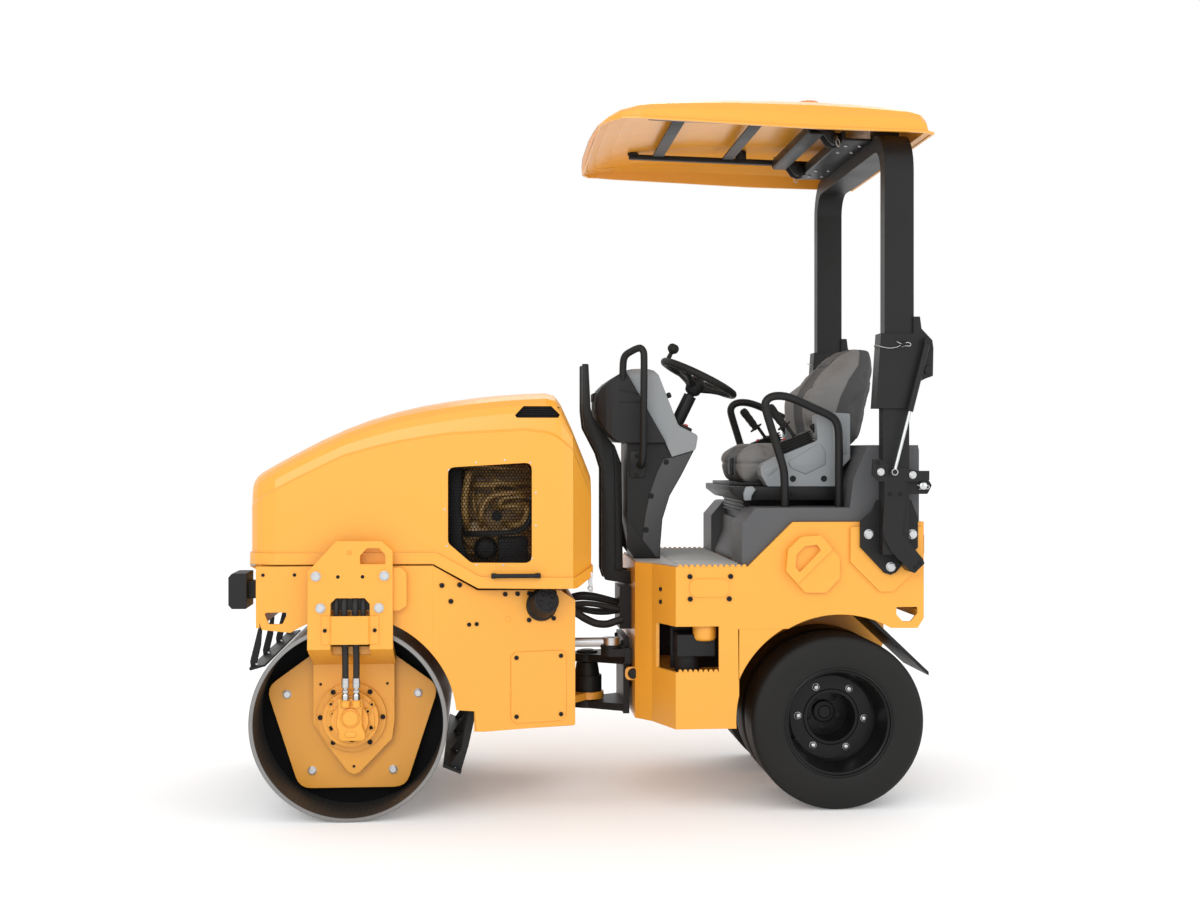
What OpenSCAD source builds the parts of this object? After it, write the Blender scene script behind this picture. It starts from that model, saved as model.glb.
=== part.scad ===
// Articulated combination road roller: one smooth steel drum in front, four slick
// pneumatic tyres behind, an engine hood over the drum and an open operator's
// platform with a folding roll-over hoop that carries a sun canopy.
// Units are mm. +X is forward, +Y is the machine's left, +Z is up.
// Ground is at Z = 0 and the origin is below the middle of the whole machine.
// Side outlines are given as [distance behind the drum axle, height].

/* [Overall] */
// Distance between the drum axle and the rear axle
wheelbase = 1776; // [1740:1:1820]
// Drum axle to the front face of the lamps
front_overhang = 425; // [410:1:440]
// Rear axle to the rear end of the tyre scrapers
rear_overhang = 349; // [340:1:365]

/* [Drum] */
// Outside diameter of the drum
drum_dia = 700; // [680:1:710]
// Width of the drum
drum_w = 1200; // [1190:1:1206]
// Thickness of the drum shell
shell_t = 16; // [12:1:22]
// Depth of the web behind the edge of the drum
web_depth = 242; // [230:1:250]

/* [Rear wheels] */
// Outside diameter of a rear tyre
tyre_dia = 642; // [632:1:648]
// Width of one rear tyre
tyre_w = 203; // [190:1:205]
// Outer face of the outer tyre from the middle of the machine
tyre_half = 556; // [552:1:562]
// Gap between the two tyres of a pair
twin_gap = 14; // [12:1:20]
// Height of the tyre above the bead of its rim
sidewall = 131; // [126:1:141]

/* [Front frame] */
// Half width over the front frame sides
ff_half = 585; // [580:1:588]
// Thickness of the frame plates
plate_t = 12; // [10:1:14]
// Gap between the drum's edge and a fork plate
fork_gap = 16; // [14:1:22]
// Thickness of a drum fork plate
fork_t = 20; // [16:1:22]

/* [Hood] */
// Half width of the hood side
hood_half = 574; // [568:1:576]
// Thickness of the hood shell
hood_t = 9; // [7:1:10]
// Radius of the hood hinge pins
hinge_r = 8; // [6:0.5:10]

/* [Articulation] */
// Radius of the steering king pin
king_r = 26; // [22:1:30]
// Radius of the oscillation shaft
osc_r = 45; // [40:1:50]
// Height of the oscillation axis
osc_z = 426; // [420:1:432]

/* [Rear frame] */
// Half width over the rear frame sides
rf_half = 518; // [510:1:522]
// Height of the operator's floor
floor_z = 893; // [888:1:898]
// Height of the top of the rear body
body_z = 1056; // [1050:1:1062]

/* [Roll-over hoop] */
// Middle of the hoop leg from the middle of the machine
rops_y = 570; // [568:1:574]
// Width of the hoop leg across the machine
rops_w = 62; // [56:1:66]
// Height of the fold pivot
fold_z = 1612; // [1600:1:1620]
// Height of the top of the hoop
hoop_z = 2490; // [2476:1:2500]

/* [Canopy] */
// Half width of the canopy
canopy_half = 630; // [615:1:634]
// Thickness of the canopy shell
canopy_t = 8; // [6:1:10]

/* [Controls] */
// Radius of the steering wheel to the middle of its rim
wheel_r = 152; // [145:1:158]
// Radius of the steering wheel's rim
grip_r = 13; // [11:1:15]

/* [Hidden] */
$fn = 48;
eps = 0.05;
x_drum = (wheelbase + rear_overhang - front_overhang) / 2;
x_axle = x_drum - wheelbase;
drum_r = drum_dia / 2;
tyre_r = tyre_dia / 2;
rim_r = tyre_r - sidewall;
fork_half = drum_w / 2 + fork_gap + fork_t;
web_y = drum_w / 2 - web_depth;
// Inner face of the fork's lower plate, clear of the drum's drive plate
fork_in = web_y + 62;
king_x = x_drum - 888;
hatch = 1776;
yel = [0.95, 0.64, 0.13];
blk = [0.09, 0.09, 0.09];
gry = [0.33, 0.34, 0.35];
lgr = [0.52, 0.54, 0.55];
stl = [0.62, 0.62, 0.62];

// Side outlines of the front half hang on the drum axle, those of the rear half on the rear axle
function F(b) = x_drum - b;
function R(b) = x_axle + hatch - b;
function front(p) = [for (q = p) [F(q[0]), q[1]]];
function rear(p) = [for (q = p) [R(q[0]), q[1]]];
function unit(v) = v / norm(v);

// A closed outline with every corner turned into a small arc
function soft(p, r, n = 4) = [for (i = [0 : len(p) - 1])
  let (a = p[(i + len(p) - 1) % len(p)], b = p[i], c = p[(i + 1) % len(p)],
       u = unit(a - b), v = unit(c - b),
       half = acos(max(-1, min(1, u * v))) / 2,
       d = min(r / tan(half), 0.48 * norm(a - b), 0.48 * norm(c - b)),
       s = b + u * d, e = b + v * d)
  each [for (k = [0 : n]) let (t = k / n) s * (1 - t) * (1 - t) + b * 2 * t * (1 - t) + e * t * t]];

// Value of a curve given as [place, value] pairs
function at(c, x) = lookup(x, c);

module both() {
  children();
  mirror([0, 1, 0]) children();
}

// An X-Z outline between two Y planes
module side(p, y0, y1) {
  translate([0, y1, 0]) rotate([90, 0, 0]) linear_extrude(y1 - y0) polygon(p);
}

// A Y-Z outline between two X planes
module across(p, x0, x1) {
  translate([x0, 0, 0]) rotate([90, 0, 90]) linear_extrude(x1 - x0) polygon(p);
}

module box(lo, hi) {
  translate(lo) cube(hi - lo);
}

// A round bar along Y
module bar_y(x, z, r, y0, y1) {
  translate([x, y1, z]) rotate([90, 0, 0]) cylinder(r = r, h = y1 - y0);
}

// A round bar along X
module bar_x(y, z, r, x0, x1) {
  translate([x0, y, z]) rotate([0, 90, 0]) cylinder(r = r, h = x1 - x0);
}

module bar_z(x, y, r, z0, z1) {
  translate([x, y, z0]) cylinder(r = r, h = z1 - z0);
}

// A round bar between two points
module rod(a, b, r) {
  d = b - a;
  translate(a) rotate([0, acos(d[2] / norm(d)), atan2(d[1], d[0])]) cylinder(r = r, h = norm(d));
}

// A round tube along a flat path of points with bends of radius b
module pipe(p, r, b) {
  n = len(p);
  s = [for (i = [0 : n - 1]) i == 0 || i == n - 1 ? p[i] :
    let (u = unit(p[i - 1] - p[i]), v = unit(p[i + 1] - p[i])) p[i] + u * b / tan(acos(u * v) / 2)];
  e = [for (i = [0 : n - 1]) i == 0 || i == n - 1 ? p[i] :
    let (u = unit(p[i - 1] - p[i]), v = unit(p[i + 1] - p[i])) p[i] + v * b / tan(acos(u * v) / 2)];
  for (i = [0 : n - 2]) {
    d = s[i + 1] - e[i];
    translate([e[i][0], e[i][1], 0]) rotate([0, 90, atan2(d[1], d[0])]) cylinder(r = r, h = norm(d));
  }
  for (i = [1 : n - 2]) {
    u = unit(p[i - 1] - p[i]);
    v = unit(p[i + 1] - p[i]);
    half = acos(u * v) / 2;
    c = p[i] + unit(u + v) * b / sin(half);
    left = u[0] * v[1] - u[1] * v[0] < 0;
    f = (left ? s[i] : e[i]) - c;
    translate([c[0], c[1], 0]) rotate([0, 0, atan2(f[1], f[0])]) rotate_extrude(angle = 180 - 2 * half) translate([b, 0]) circle(r = r, $fn = 32);
  }
}

// An open path with its inner corners turned into arcs
function bend(p, r, n = 5) = [for (i = [0 : len(p) - 1])
  each i == 0 || i == len(p) - 1 ? [p[i]] :
    let (u = unit(p[i - 1] - p[i]), v = unit(p[i + 1] - p[i]), d = min(r / tan(acos(u * v) / 2), 0.48 * norm(p[i - 1] - p[i]), 0.48 * norm(p[i + 1] - p[i])))
    [for (k = [0 : n]) let (t = k / n) (p[i] + u * d) * (1 - t) * (1 - t) + p[i] * 2 * t * (1 - t) + (p[i] + v * d) * t * t]];

// A round tube along a path in space that lies square to the direction nrm
module sweep(p, r, nrm, n = 12) {
  loft([for (i = [0 : len(p) - 1])
    let (t = i == 0 ? unit(p[1] - p[0]) : i == len(p) - 1 ? unit(p[i] - p[i - 1]) : unit(unit(p[i] - p[i - 1]) + unit(p[i + 1] - p[i])),
         s = unit(cross(nrm, t)), m = cross(t, s))
    [for (k = [0 : n - 1]) p[i] + r * (cos(360 * k / n) * s - sin(360 * k / n) * m)]]);
}

// A ring-by-ring skin
module loft(rings) {
  n = len(rings[0]);
  m = len(rings);
  polyhedron(
    points = [for (r = rings) each r],
    faces = concat(
      [for (j = [0 : n / 2 - 2]) [n - 1 - j, n - 2 - j, j + 1, j]],
      [for (i = [0 : m - 2]) for (j = [0 : n - 1]) [i * n + j, i * n + (j + 1) % n, (i + 1) * n + (j + 1) % n]],
      [for (i = [0 : m - 2]) for (j = [0 : n - 1]) [i * n + j, (i + 1) * n + (j + 1) % n, (i + 1) * n + j]],
      [for (j = [0 : n / 2 - 2]) [(m - 1) * n + j, (m - 1) * n + j + 1, m * n - 2 - j, m * n - 1 - j]]),
    convexity = 6);
}

// Front frame

// Axis of the hood hinge, in front of the hood's lip
hood_pin = [-378, 900];
// The rear half of the front frame narrows towards the hitch
bend_b = 300;
tail_b = 815;
tail_half = ff_half - 145;
bend_a = atan((ff_half - tail_half) / (tail_b - bend_b));
arch_r = drum_r + 32;
function ff_y(b) = b <= bend_b ? ff_half : ff_half - (b - bend_b) * tan(bend_a);

module ff_tail_plate(p, t, off = 0) {
  translate([F(bend_b), ff_half, 0]) rotate([0, 0, bend_a])
    translate([0, off, 0]) rotate([90, 0, 0]) linear_extrude(t)
      polygon([for (q = p) [-(q[0] - bend_b) / cos(bend_a), q[1]]]);
}

module front_frame() color(yel) difference() {
  union() {
    both() {
      side(front([[-325, 908], [bend_b, 908], [bend_b, 560], [-100, 655], [-171, 669], [-304, 684], [-325, 745]]), ff_half - plate_t, ff_half);
      ff_tail_plate([[bend_b - 2, 908], [456, 816], [760, 806], [tail_b, 768], [tail_b, 309], [480, 304], [454, 306], [445, 380], [380, 388], [bend_b - 2, 560]], plate_t);
      // pad that spaces the fork from the side
      side(front([[-106, 896], [-86, 905], [186, 905], [206, 885], [206, 770], [180, 752], [-106, 752]]), ff_half - 1, fork_half - fork_t);
      // hinge ears for the hood
      for (y = [228, 262]) side(front(soft([[-320, 905], [hood_pin[0] + 13, 905], [hood_pin[0] + 12, hood_pin[1] + 13], [hood_pin[0] - 13, hood_pin[1] + 13], [hood_pin[0] - 13, hood_pin[1] - 13], [-340, 862], [-320, 850]], 8)), y, y + 14);
    }
    box([F(-313), -ff_half + 1, 690], [F(-325), ff_half - 1, 907]);
    // floor under the engine
    translate([0, 0, 735]) linear_extrude(plate_t)
      polygon([[F(-315), ff_half - 2], [F(bend_b), ff_half - 2], [F(805), ff_y(805) - 2], [F(805), -ff_y(805) + 2], [F(bend_b), -ff_half + 2], [F(-315), -ff_half + 2]]);
    // bulkhead behind the drum
    box([F(456), -ff_y(456) + 3, 306], [F(444), ff_y(456) - 3, 740]);
    // rear plate
    box([F(tail_b), -ff_y(tail_b) + 3, 309], [F(tail_b - plate_t), ff_y(tail_b) - 3, 766]);
    translate([0, 0, 306]) linear_extrude(plate_t)
      polygon([[F(450), ff_y(450) - 3], [F(810), ff_y(810) - 3], [F(810), -ff_y(810) + 3], [F(450), -ff_y(450) + 3]]);
    // lower tongue of the hitch
    translate([0, 0, 339]) linear_extrude(28) polygon([[F(770), 150], [F(tail_b + 4), 150], [F(880), 66], [F(880), -66], [F(tail_b + 4), -150], [F(770), -150]]);
    bar_z(king_x, 0, 66, 339, 367);
    // ears and pin of the steering cylinder
    for (z = [520, 618]) box([F(520), 130, z], [F(450), 210, z + 20]);
    bar_z(F(490), 170, 15, 522, 636);
  }
  // drum arch
  bar_y(x_drum, drum_r, arch_r, -ff_half - 1, ff_half + 1);
  // tie-down holes in the front corners
  side(front(soft([[-297, 745], [-213, 745], [-232, 704], [-280, 704]], 8)), -ff_half - 1, ff_half + 1);
  // way out for the steering cylinder
  box([F(tail_b + 1), 85, 532], [F(tail_b - plate_t - 1), 255, 634]);
  // access hole in the belly plate
  box([F(760), -300, 300], [F(520), 300, 325]);
  // openings for hoses and air through the engine floor
  box([F(780), -250, 730], [F(560), 250, 750]);
  bar_z(king_x, 0, king_r + eps, 330, 380);
  for (y = [-277, 227]) bar_y(F(hood_pin[0]), hood_pin[1], hinge_r, y, y + 50);
  // two spare screw holes on each fork pad stay in the fork
}

module hood_hinge_pins() color(stl) both() {
  bar_y(F(hood_pin[0]), hood_pin[1], hinge_r, 224, 280);
  for (y = [221, 276]) bar_y(F(hood_pin[0]), hood_pin[1], hinge_r + 4, y, y + 7);
}

module pivot_barrel() color(blk) difference() {
  union() {
    bar_z(king_x, 0, 58, 367, 430);
    translate([king_x, 0, 430]) cylinder(r1 = 50, r2 = 42, h = 52);
  }
  bar_z(king_x, 0, king_r + eps, 360, 490);
}

// Drum fork plates
module drum_forks() color(yel) both() difference() {
  union() {
    side(front([[-138, 894], [-38, 1000], [120, 1000], [158, 966], [159, 622], [-140, 622]]), fork_half - fork_t, fork_half);
    across([[fork_half, 640], [fork_half, 618], [fork_in + 20, 540], [fork_in, 540], [fork_in, 565], [fork_half - fork_t, 642]], F(159), F(-140));
    side(front([[-140, 552], [154, 552], [154, 330], [145, 267], [28, 146], [7, 138], [-14, 147], [-97, 256], [-140, 327]]), fork_in, fork_in + 20);
  }
  bar_y(x_drum, drum_r, 64, fork_in - 20, fork_in + 30);
  // lifting window
  side(front(soft([[44, 918], [44, 948], [69, 975], [111, 975], [133, 951], [133, 918]], 4)), fork_half - fork_t - 16, fork_half + 14);
  // hole for a shackle and two screw holes
  bar_y(F(8), 960, 8, fork_half - fork_t - 16, fork_half + 14);
  for (b = [-33, 53]) bar_y(F(b), 874, 6, fork_half - fork_t - 16, fork_half + 14);
  // window for the hoses
  side(front([[-59, 590], [-59, 780], [-40, 799], [60, 799], [78, 778], [78, 590]]), fork_half - 76, fork_half + 14);
}

// Bulged plates over the drum hoses
module fork_covers() color(yel) both() translate([0, 0, 637]) linear_extrude(100)
  polygon([for (q = [[-90, 0.2], [-90, 4], [-62, 4], [-54, 14], [73, 14], [81, 4], [110, 4], [110, 0.2], [78, 0.2], [70, 10], [-51, 10], [-59, 0.2]]) [F(q[0]), fork_half + q[1]]]);

module drum_motors() color(yel) both() {
  bar_y(x_drum, drum_r, 60, web_y - 6, fork_in + 21);
  bar_y(x_drum, drum_r, 125, fork_in + 20, fork_in + 36);
  bar_y(x_drum, drum_r, 100, fork_in + 35, fork_in + 80);
  bar_y(x_drum, drum_r, 66, fork_in + 79, fork_in + 116);
}

// Drum

module drum_shell() color(stl) translate([x_drum, 0, drum_r]) rotate([90, 0, 0]) {
  rotate_extrude($fn = 96)
    polygon([[drum_r, -drum_w / 2 + 3], [drum_r, drum_w / 2 - 3], [drum_r - 3, drum_w / 2], [drum_r - shell_t, drum_w / 2],
      [drum_r - shell_t, web_y], [90, web_y], [90, web_y - 16], [drum_r - shell_t, web_y - 16],
      [drum_r - shell_t, -web_y + 16], [90, -web_y + 16], [90, -web_y], [drum_r - shell_t, -web_y],
      [drum_r - shell_t, -drum_w / 2], [drum_r - 3, -drum_w / 2]]);
}

module drum_plates() color(yel) both() difference() {
  union() {
    translate([x_drum, web_y + 46, drum_r]) rotate([90, 0, 0]) linear_extrude(14)
      polygon(soft([for (i = [0 : 4]) 330 * [sin(72 * i), cos(72 * i)]], 60, 4));
    bar_y(x_drum, drum_r, 92, web_y + 8, web_y + 46);
  }
  bar_y(x_drum, drum_r, 60 + eps, web_y - 8, web_y + 62);
}

module drum_buffers() color(blk) both() for (i = [0 : 4])
  translate([x_drum + 250 * sin(72 * i), 0, drum_r + 250 * cos(72 * i)]) bar_y(0, 0, 38, web_y, web_y + 32);

module drum_scrapers() color(blk) {
  // front blade and its arms
  side(front([[-356, 544], [-300, 556], [-298, 549], [-352, 534]]), 60 - drum_w / 2, drum_w / 2 - 60);
  both() for (y = [180, drum_w / 2 - 100]) side(front([[-325, 690], [-313, 690], [-318, 620], [-334, 549], [-354, 545], [-356, 564]]), y, y + 12);
  // rear blade and its arms
  side(front([[331, 180], [395, 154], [399, 162], [335, 190]]), 60 - drum_w / 2, drum_w / 2 - 60);
  both() for (y = [180, drum_w / 2 - 100]) side(front([[444, 430], [444, 340], [424, 250], [397, 160], [355, 178], [397, 240], [414, 330]]), y, y + 12);
}

// Engine hood
hood_top = [[-353, 1222], [-337, 1240], [-204, 1313], [-110, 1362], [-20, 1403], [70, 1438], [166, 1467], [260, 1489], [352, 1505], [446, 1518], [540, 1528], [630, 1534], [705, 1537], [738, 1528], [758, 1502], [864, 1264], [874, 1240]];
hood_crease = [[-353, 1118], [-302, 1153], [-160, 1228], [-3, 1303], [180, 1348], [355, 1375], [649, 1391], [730, 1375], [799, 1320], [864, 1170], [874, 1150]];
hood_plan = [[-353, 488], [-344, 520], [-326, 546], [-300, 562], [-260, hood_half], [770, hood_half], [800, hood_half - 12], [874, 440]];

function hood_ring(b, o) = let (
    z = at(hood_top, b) + o, c = at(hood_crease, b), w = at(hood_plan, b) + o, s = min(80, (z - c) * 0.62),
    half = [[w, 760 - o], [w, c], [w - 9, c + 9], [w - 14, z - s], [w - 24, z - s * 0.66], [w - 48, z - s * 0.38], [w - 90, z - s * 0.20], [w - 170, z - s * 0.08], [w - 300, z - s * 0.02]])
  concat([for (q = half) [F(b), q[0], q[1]]], [for (i = [len(half) - 1 : -1 : 0]) [F(b), -half[i][0], half[i][1]]]);

hood_b = [-353, -344, -337, -326, -300, -260, -204, -110, -20, 70, 166, 260, 352, 446, 540, 630, 705, 738, 758, 800, 864, 874];

hood_lip_low = [[-420, 600], [-420, 914], [298, 914], [458, 826], [817, 821], [884, 860], [900, 860], [900, 600]];
hood_window = [[351, 1258], [651, 1276], [651, 915], [433, 917], [351, 988]];
hood_vent = [[597, 1437], [591, 1446], [622, 1479], [722, 1479], [753, 1448], [746, 1437]];

module hood() color(yel) difference() {
  union() {
    loft([for (b = hood_b) hood_ring(b, 0)]);
    // lip round the lower edge
    intersection() {
      loft([for (b = hood_b) let (r = hood_ring(b, 8)) [for (q = r) [F(b < -300 ? b - 6 : b > 850 ? b + 6 : b), q[1], q[2]]]]);
      side(front([[-420, 905], [-420, 955], [310, 955], [470, 866], [812, 862], [900, 906], [900, 800], [298, 800]]), -700, 700);
    }
    // hinge knuckles
    both() side(front(soft([[-352, 914], [-352, 950], [-361, 950], [hood_pin[0] - 10, hood_pin[1] + 14], [hood_pin[0] - 14, hood_pin[1] - 8], [hood_pin[0] - 4, hood_pin[1] - 14], [hood_pin[0] + 13, hood_pin[1] - 8], [hood_pin[0] + 15, 914]], 5)), 242.2, 261.8);
  }
  loft([for (b = hood_b) let (r = hood_ring(b, -hood_t)) [for (q = r) [F(b < -300 ? b + hood_t : b > 800 ? b - hood_t : b), q[1], q[2]]]]);
  difference() {
    side(front(hood_lip_low), -700, 700);
    both() side(front([[-361, 880], [-361, 960], [-400, 960], [-400, 880]]), 242, 262);
  }
  side(front(soft(hood_window, 26)), -700, 700);
  side(front(hood_vent), -700, 700);
  both() bar_y(F(hood_pin[0]), hood_pin[1], hinge_r + eps, 235, 270);
}

module hood_grilles() color(blk) both() difference() {
  side(front(soft([[338, 1272], [664, 1290], [664, 902], [428, 904], [338, 982]], 26)), hood_half - hood_t - 4, hood_half - hood_t);
  intersection() {
    side(front(soft(hood_window, 26)), hood_half - hood_t - 5, hood_half - hood_t + 1);
    for (i = [0 : 14]) for (j = [0 : 17])
      translate([F(352 + 21 * i + (j % 2) * 10.5), hood_half - hood_t + 1, 917 + 20 * j]) rotate([90, 0, 0]) cylinder(r = 9, h = 6, $fn = 6);
  }
}

module hood_handles() color(blk) both() {
  translate([0, 0, 871]) pipe([[F(515), hood_half + 8], [F(515), hood_half + 30], [F(672), hood_half + 30], [F(672), hood_half + 8]], 7, 12);
}

// Engine and cooler
module engine() color([0.35, 0.28, 0.16]) {
  box([F(660), -190, 830], [F(240), 190, 1130]);
  box([F(640), -110, 1130], [F(260), 110, 1230]);
  box([F(620), -150, 760], [F(280), 150, 830]);
  both() for (b = [300, 600]) box([F(b + 30), 180, 747], [F(b - 30), 260, 850]);
  bar_x(250, 1080, 45, F(600), F(380));
  both() box([F(620), 188, 1060], [F(330), 210, 1110]);
}

module radiator() color([0.2, 0.2, 0.2]) {
  box([F(-60), -330, 747], [F(-150), 330, 1230]);
  bar_x(0, 1000, 190, F(0), F(-60));
  bar_x(0, 1000, 40, F(240), F(0));
}

module head_lamps() color(gry) both() {
  difference() {
    side(front(soft([[-front_overhang, 770], [-front_overhang, 868], [-413, 882], [-361, 882], [-361, 756], [-413, 756]], 5)), 395, 560);
    side(front([[-front_overhang - 1, 776], [-front_overhang - 1, 862], [-front_overhang + 8, 858], [-front_overhang + 8, 780]]), 405, 550);
  }
  box([F(-325), 430, 790], [F(-362), 520, 850]);
}

module fuel_cap() color(blk) translate([F(694), ff_y(694), 757]) rotate([0, 0, bend_a]) rotate([-90, 0, 0]) {
  translate([0, 0, 0.2]) cylinder(r = 59, h = 14);
  translate([0, 0, 14]) cylinder(r1 = 54, r2 = 47, h = 32);
  translate([0, 0, 45]) cylinder(r = 46, h = 17);
}

module service_covers() color(yel) both()
  ff_tail_plate([[592, 328], [765, 328], [780, 345], [780, 570], [765, 586], [592, 586], [577, 570], [577, 345]], 4, 4);

// Hitch
module hitch_yoke() color(blk) {
  translate([0, 0, 488]) linear_extrude(30) polygon([[F(888), 62], [R(1030), 150], [R(1030), -150], [F(888), -62]]);
  bar_z(king_x, 0, 62, 488, 518);
  translate([0, 0, 306]) linear_extrude(28) polygon([[F(888), 62], [R(1030), 150], [R(1030), -150], [F(888), -62]]);
  bar_z(king_x, 0, 62, 306, 334);
  bar_z(king_x, 0, king_r, 300, 530);
  box([R(1042), -160, 300], [R(1018), 160, 590]);
  bar_x(0, osc_z, osc_r, R(1225), R(1040));
  bar_x(0, osc_z, 80, R(1047), R(1040));
  // arm for the steering cylinder
  translate([0, 0, 526]) linear_extrude(30) polygon([[F(968), 132], [F(968), 208], [R(1030), 214], [R(1030), 110]]);
  box([R(1042), 100, 500], [R(1018), 218, 560]);
  bar_z(F(968), 170, 38, 526, 560);
}

module steer_barrel() color(blk) difference() {
  union() {
    bar_x(170, 579, 34, F(812), F(500));
    bar_z(F(490), 170, 32, 543, 615);
    bar_x(170, 579, 40, F(826), F(800));
  }
  bar_z(F(490), 170, 15 + eps, 530, 630);
  bar_x(170, 579, 18 + eps, F(830), F(530));
}

module steer_rod() color(stl) {
  bar_x(170, 579, 18, F(945), F(640));
  difference() {
    bar_z(F(968), 170, 34, 561, 597);
    bar_z(F(968), 170, 15, 590, 600);
  }
}

// Rear frame
well_z = tyre_dia + 78;
plan_out = [[1054, 257], [1111, 335], [1178, rf_half], [1412, rf_half]];
plan_in = [[1054 + plate_t, 257 - 6], [1111 + 9, 335 - 8], [1178 + 8, rf_half - plate_t], [1412 - plate_t, rf_half - plate_t]];
function mirror_plan(p) = concat([for (q = p) [R(q[0]), q[1]]], [for (i = [len(p) - 1 : -1 : 0]) [R(p[i][0]), -p[i][1]]]);

module rear_frame() color(yel) difference() {
  union() {
    // tapered front box
    translate([0, 0, 300]) linear_extrude(floor_z - 300) difference() {
      polygon(mirror_plan(plan_out));
      polygon(mirror_plan(plan_in));
    }
    translate([0, 0, 300]) linear_extrude(plate_t) polygon(mirror_plan(plan_in));
    // sides of the rear body
    both() side(rear([[1408, floor_z], [1444, floor_z], [1611, body_z], [2101, body_z], [2101, 700], [2078, 663], [1958, 664], [1408, 664]]), rf_half - plate_t, rf_half);
    // rear plate, wheel well roof and the slope behind the driver's feet
    box([R(2101), -rf_half + 1, 700], [R(2101 - plate_t), rf_half - 1, body_z]);
    box([R(2095), -rf_half + 1, well_z], [R(1405), rf_half - 1, well_z + plate_t]);
    side(rear([[1444, floor_z], [1461, floor_z], [1628, body_z], [1611, body_z]]), -rf_half + 1, rf_half - 1);
    box([R(1455), -rf_half + 1, floor_z - 12], [R(1400), rf_half - 1, floor_z]);
    box([R(2095), -rf_half + 1, body_z - plate_t], [R(1612), rf_half - 1, body_z]);
    // spine between the wheels
    both() side(rear([[1405, 330], [1405, well_z + 1], [2060, well_z + 1], [2060, 560], [1940, 250], [1640, 230]]), 84, 84 + plate_t);
    box([R(1950), -85, 238], [R(1640), 85, 250]);
    // oscillation bearing
    bar_x(0, osc_z, 76, R(1235), R(1054 + 4));
    box([R(1200), -90, 306], [R(1062), 90, 380]);
    // pads under the hoop bases
    both() side(rear(soft([[1823, 1038], [1823, 909], [1933, 799], [1982, 799], [2094, 899], [2094, 1038]], 8)), rf_half - 1, rf_half + 12);
    // ears for the articulation lock
    side(rear(soft([[1018, 442], [1018, 492], [1080, 492], [1080, 442]], 20)), 235, 247);
  }
  // wheel arches
  both() bar_y(R(1786), tyre_r + 9, tyre_r + 64, 110, rf_half + 20);
  // step windows
  both() box([R(1337), rf_half - 150, 508], [R(1120), rf_half + 1, 675]);
  // tie-down holes in the rear corners
  side(rear(soft([[1998, 741], [2077, 741], [2077, 718], [2052, 688], [2021, 688], [1998, 714]], 5)), -rf_half - 1, rf_half + 1);
  bar_x(0, osc_z, osc_r + eps, R(1240), R(1040));
  // service opening in the rear plate
  box([R(2110), -300, 770], [R(2080), 300, 980]);
  bar_y(x_axle, tyre_r, 66, -100, 100);
  box([R(1390), -300, 290], [R(1250), 300, 320]);
}

module floor_plate() color(lgr) {
  translate([0, 0, floor_z]) linear_extrude(5) polygon(mirror_plan([[1058, 250], [1114, 328], [1183, rf_half - 8], [1424, rf_half - 8]]));
  for (i = [0 : 11]) box([R(1420), -434 + 77 * i, floor_z + 5], [R(1190), -414 + 77 * i, floor_z + 9]);
}

module wheel_fenders() color(gry) {
  both() side(rear([[1425, floor_z + 0.2], [1425, 1049], [1473, 1104], [1484, 1108], [1850, 1108], [1850, body_z + 0.2], [1610.8, body_z + 0.2], [1443.8, floor_z + 0.2]]), 270, 500);
  side(rear([[1826, body_z + 0.2], [1828, 1110], [1841, 1210], [1896, 1339], [2084, 1339], [2088, 1320], [2088, body_z + 0.2]]), -500, 500);
}

module tank_cap() color(yel) difference() {
  side(rear(soft([[1637, 1004], [1710, 1009], [1782, 927], [1782, 851], [1731, 797], [1653, 798], [1581, 877], [1588, 957]], 8)), rf_half, rf_half + 28);
  // lower half below the ridge, and the pocket for a hand above it
  side(rear([[1757, 960], [1615, 822], [1600, 760], [1830, 760], [1830, 960]]), rf_half + 20, rf_half + 40);
  side(rear(soft([[1650, 969], [1695, 974], [1710, 954], [1631, 873], [1615, 894], [1620, 938]], 6)), rf_half + 8, rf_half + 40);
}

module rear_cover() color(yel)
  side(rear([[1246, 783], [1230, 799], [1230, 833], [1246, 849], [1358, 849], [1374, 833], [1374, 799], [1358, 783]]), rf_half, rf_half + 4);

module axle_carrier() color(blk) {
  bar_y(x_axle, tyre_r, 66, -118, 118);
  bar_y(x_axle, tyre_r, 42, -302, 302);
}

// Rear wheels
tyre_y = [tyre_half - tyre_w, tyre_half - 2 * tyre_w - twin_gap];

module one_tyre() translate([x_axle, 0, tyre_r]) rotate([-90, 0, 0]) rotate_extrude($fn = 72)
  polygon([[rim_r, 22], [rim_r + 24, 6], [tyre_r - 60, 0], [tyre_r - 26, 5], [tyre_r - 8, 18], [tyre_r, 36], [tyre_r, tyre_w - 36], [tyre_r - 8, tyre_w - 18], [tyre_r - 26, tyre_w - 5], [tyre_r - 60, tyre_w], [rim_r + 24, tyre_w - 6], [rim_r, tyre_w - 22]]);

module one_rim(disc, bore) translate([x_axle, 0, tyre_r]) rotate([-90, 0, 0]) rotate_extrude($fn = 72)
  polygon([[rim_r + 12, 8], [rim_r + 12, 14], [rim_r, 21.9], [rim_r - 0.05, tyre_w - 21.9], [rim_r + 12, tyre_w - 14], [rim_r + 12, tyre_w - 8], [rim_r - 6, tyre_w - 20], [rim_r - 26, disc + 22], [rim_r - 36, disc + 12], [bore, disc + 12], [bore, disc], [rim_r - 36, disc], [rim_r - 20, disc - 4], [rim_r - 6, 20]]);

module tyres_left() color(blk) for (y = tyre_y) translate([0, y, 0]) one_tyre();
module tyres_right() color(blk) mirror([0, 1, 0]) for (y = tyre_y) translate([0, y, 0]) one_tyre();

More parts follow.
